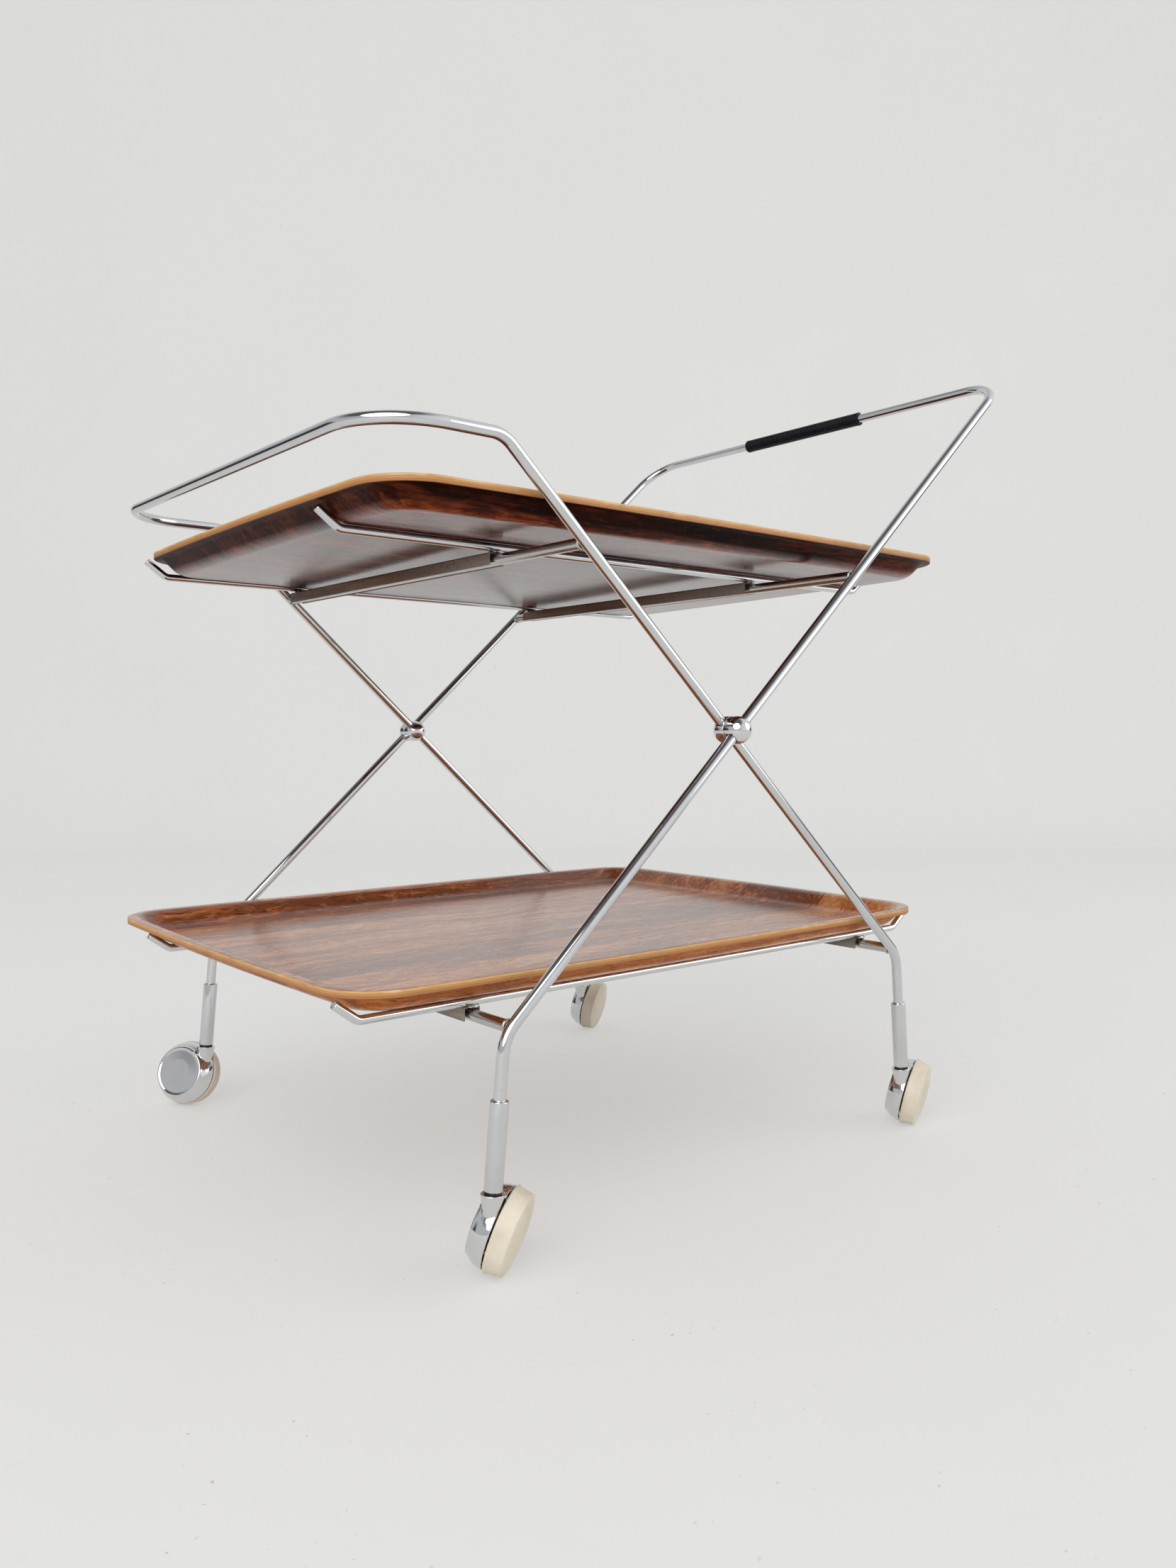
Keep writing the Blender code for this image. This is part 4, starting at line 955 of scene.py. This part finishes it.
frame_rods()
cross_rods()
pivot_balls()
grip()
for carrier in ("upper", "lower"):
    channels(carrier)
    rails(carrier)
tray("upper", 0.37, SHADED_ROSEWOOD, UPPER_INSIDE, UPPER_UNDERSIDE)
tray("lower", 1.91, WARM_ROSEWOOD, LOWER_INSIDE, LOWER_UNDERSIDE)
casters()
for node, obj in frame["nodes"].items():
    if node.startswith(("pivot_pin", "swivel_washer", "caster_stem", "caster_axle")):
        obj.data.materials.clear()
        obj.data.materials.append(STEEL)


# Studio

# Sizes and places in metres, powers in watts
PAPER_GREY = (0.725, 0.722, 0.705)
PAPER_OWN_LIGHT = 0.60
BACKDROP_SIZE = (6.4, 8.0, 1.0)
BACKDROP_HEIGHT = 4.0
BACKDROP_CURVE = 0.5
BACKDROP_PLACE = (0.0, -1.25, 0.0)
GROUND_RADIUS = 9.0
GROUND_DROP = 0.5 * MM
# Each lamp: name, place, size and power
LAMPS = (("key_light", (-2.2, -1.5, 1.9), 3.0, 52.0), ("fill_light", (2.2, -2.1, 1.4), 2.4, 20.0))
LAMP_AIM = Vector((0.0, 0.0, 0.25))
SOFT_LIGHT = 0.74
# The room that the chrome mirrors: a heading, then how far towards it two greys lie
ROOM_SIDES = (
    ((-0.50, 0.866, -0.1), (0.89, 1.0), (0.95, 0.09)),
    ((0.77, -0.64, 0.10), (0.0, 0.56), (0.85, 0.92)),
    ((0.96, -0.28, -0.05), (0.94, 1.0), (0.98, 0.10)),
    ((-0.45, -0.10, 1.0), (0.66, 1.0), (0.84, 0.22)),
)
CAMERA_PLACE = Vector((-0.6168, -0.7999, 0.3350))
CAMERA_PITCH = math.radians(87.54)
CAMERA_TURN = math.radians(-39.69)
CAMERA_LENS = 35.92
CAMERA_SENSOR = 36.0


def paper(name):
    """Pale studio paper; the camera sees it partly by its own even light, so that shadows stay soft."""
    f = Finish(name)
    cloud = f.noise(f.place, 3.0, 4.0, 0.6)
    marks = f.noise(f.place, 40.0, 5.0, 0.7)
    specks = f.range(f.noise(f.place, 210.0, 2.0, 0.5), 0.70, 0.76, 0.0, 1.0)
    trodden = f.range(f.noise(f.place, 6.0, 3.0, 0.6), 0.46, 0.60, 0.0, 1.0)
    tone = f.ramp(cloud, [(0.3, (0.78, 0.78, 0.77)), (0.7, (0.81, 0.81, 0.80))])
    worn = f.mix(f.range(marks, 0.60, 0.76, 0.0, 0.30), tone, (0.62, 0.60, 0.57))
    f.set(Base_Color=f.mix(f.math("MULTIPLY", specks, trodden), worn, (0.16, 0.14, 0.12)))
    f.set(Roughness=0.6, Specular_IOR_Level=0.2)
    even = f.node("ShaderNodeEmission", Color=PAPER_GREY).outputs[0]
    rays = f.node("ShaderNodeLightPath").outputs
    seen = f.math("MAXIMUM", rays["Is Camera Ray"], rays["Is Glossy Ray"])
    share = f.math("MULTIPLY", seen, PAPER_OWN_LIGHT)
    blend = f.node("ShaderNodeMixShader", Fac=share, i1=f.shader.outputs[0], i2=even).outputs[0]
    f.feed(f.tree.nodes["Material Output"], "Surface", blend)
    return f.material


def paper_stage():
    """A sheet of paper swept up behind the cart, on a wide floor of the same paper."""
    start()
    bpy.ops.mesh.primitive_plane_add(size=1.0)
    backdrop = bpy.context.object
    backdrop.scale = BACKDROP_SIZE
    settle(backdrop, "paper_sweep")
    bpy.ops.object.mode_set(mode="EDIT")
    pick(backdrop, "EDGE", lambda edge: all(v.co.y > 1.0 for v in edge.verts))
    bpy.ops.mesh.extrude_region_move(TRANSFORM_OT_translate={"value": (0, 0, BACKDROP_HEIGHT)})
    pick(backdrop, "EDGE", lambda edge: all(v.co.y > 1.0 and v.co.z < 0.1 for v in edge.verts))
    bpy.ops.mesh.bevel(offset=BACKDROP_CURVE, segments=12, affect="EDGES")
    bpy.ops.object.mode_set(mode="OBJECT")
    turn = Matrix.Rotation(CAMERA_TURN, 4, "Z")
    settle(backdrop, "paper_sweep", turn @ Matrix.Translation(BACKDROP_PLACE))
    smooth(backdrop, 40.0)
    backdrop.data.materials.append(paper("pale_paper"))
    start()
    bpy.ops.mesh.primitive_circle_add(vertices=64, radius=GROUND_RADIUS, fill_type="NGON",
                                      location=(0, 0, -GROUND_DROP))
    ground = settle(bpy.context.object, "studio_floor")
    ground.data.materials.append(paper("pale_floor"))


def lamps():
    """A soft key from the upper left and a weak fill."""
    for name, place, size, energy in LAMPS:
        lamp = bpy.data.lights.new(name, "AREA")
        lamp.shape = "DISK"
        lamp.size = size
        lamp.energy = energy
        obj = bpy.data.objects.new(name, lamp)
        bpy.context.scene.collection.objects.link(obj)
        obj.location = place
        obj.rotation_euler = (LAMP_AIM - Vector(place)).to_track_quat("-Z", "Y").to_euler()


def surroundings():
    """Even soft light, a plain paper grey for the camera, and a pale room with dark parts for the chrome."""
    world = bpy.data.worlds.new("pale_room")
    bpy.context.scene.world = world
    world.use_nodes = True
    world.node_tree.nodes.clear()
    room = NodeTree(world.node_tree)
    direction = room.node("ShaderNodeTexCoord").outputs["Generated"]
    shade = None
    for heading, *stops in ROOM_SIDES:
        toward = room.dot(direction, Vector(heading).normalized())
        side = room.ramp(toward, [(where, (grey, grey, grey * 1.01)) for where, grey in stops])
        shade = side if shade is None else room.mix(1.0, shade, side, "MULTIPLY")
    soft = room.node("ShaderNodeBackground", Color=(1.0, 1.0, 1.0), Strength=SOFT_LIGHT).outputs[0]
    mirrored = room.node("ShaderNodeBackground", Color=shade).outputs[0]
    plain = room.node("ShaderNodeBackground", Color=PAPER_GREY).outputs[0]
    rays = room.node("ShaderNodeLightPath").outputs
    around = room.node("ShaderNodeMixShader", Fac=rays["Is Glossy Ray"], i1=soft, i2=mirrored).outputs[0]
    seen = room.node("ShaderNodeMixShader", Fac=rays["Is Camera Ray"], i1=around, i2=plain).outputs[0]
    room.node("ShaderNodeOutputWorld", Surface=seen)


def camera():
    """The photograph's viewing angle."""
    lens = bpy.data.cameras.new("photo_camera")
    lens.sensor_fit = "HORIZONTAL"
    lens.sensor_width = CAMERA_SENSOR
    lens.lens = CAMERA_LENS
    obj = bpy.data.objects.new("photo_camera", lens)
    bpy.context.scene.collection.objects.link(obj)
    obj.location = SHIFT + CAMERA_PLACE
    obj.rotation_euler = (CAMERA_PITCH, 0.0, CAMERA_TURN)
    bpy.context.scene.camera = obj


paper_stage()
lamps()
surroundings()
camera()
bpy.context.scene.view_settings.view_transform = "Standard"
start()
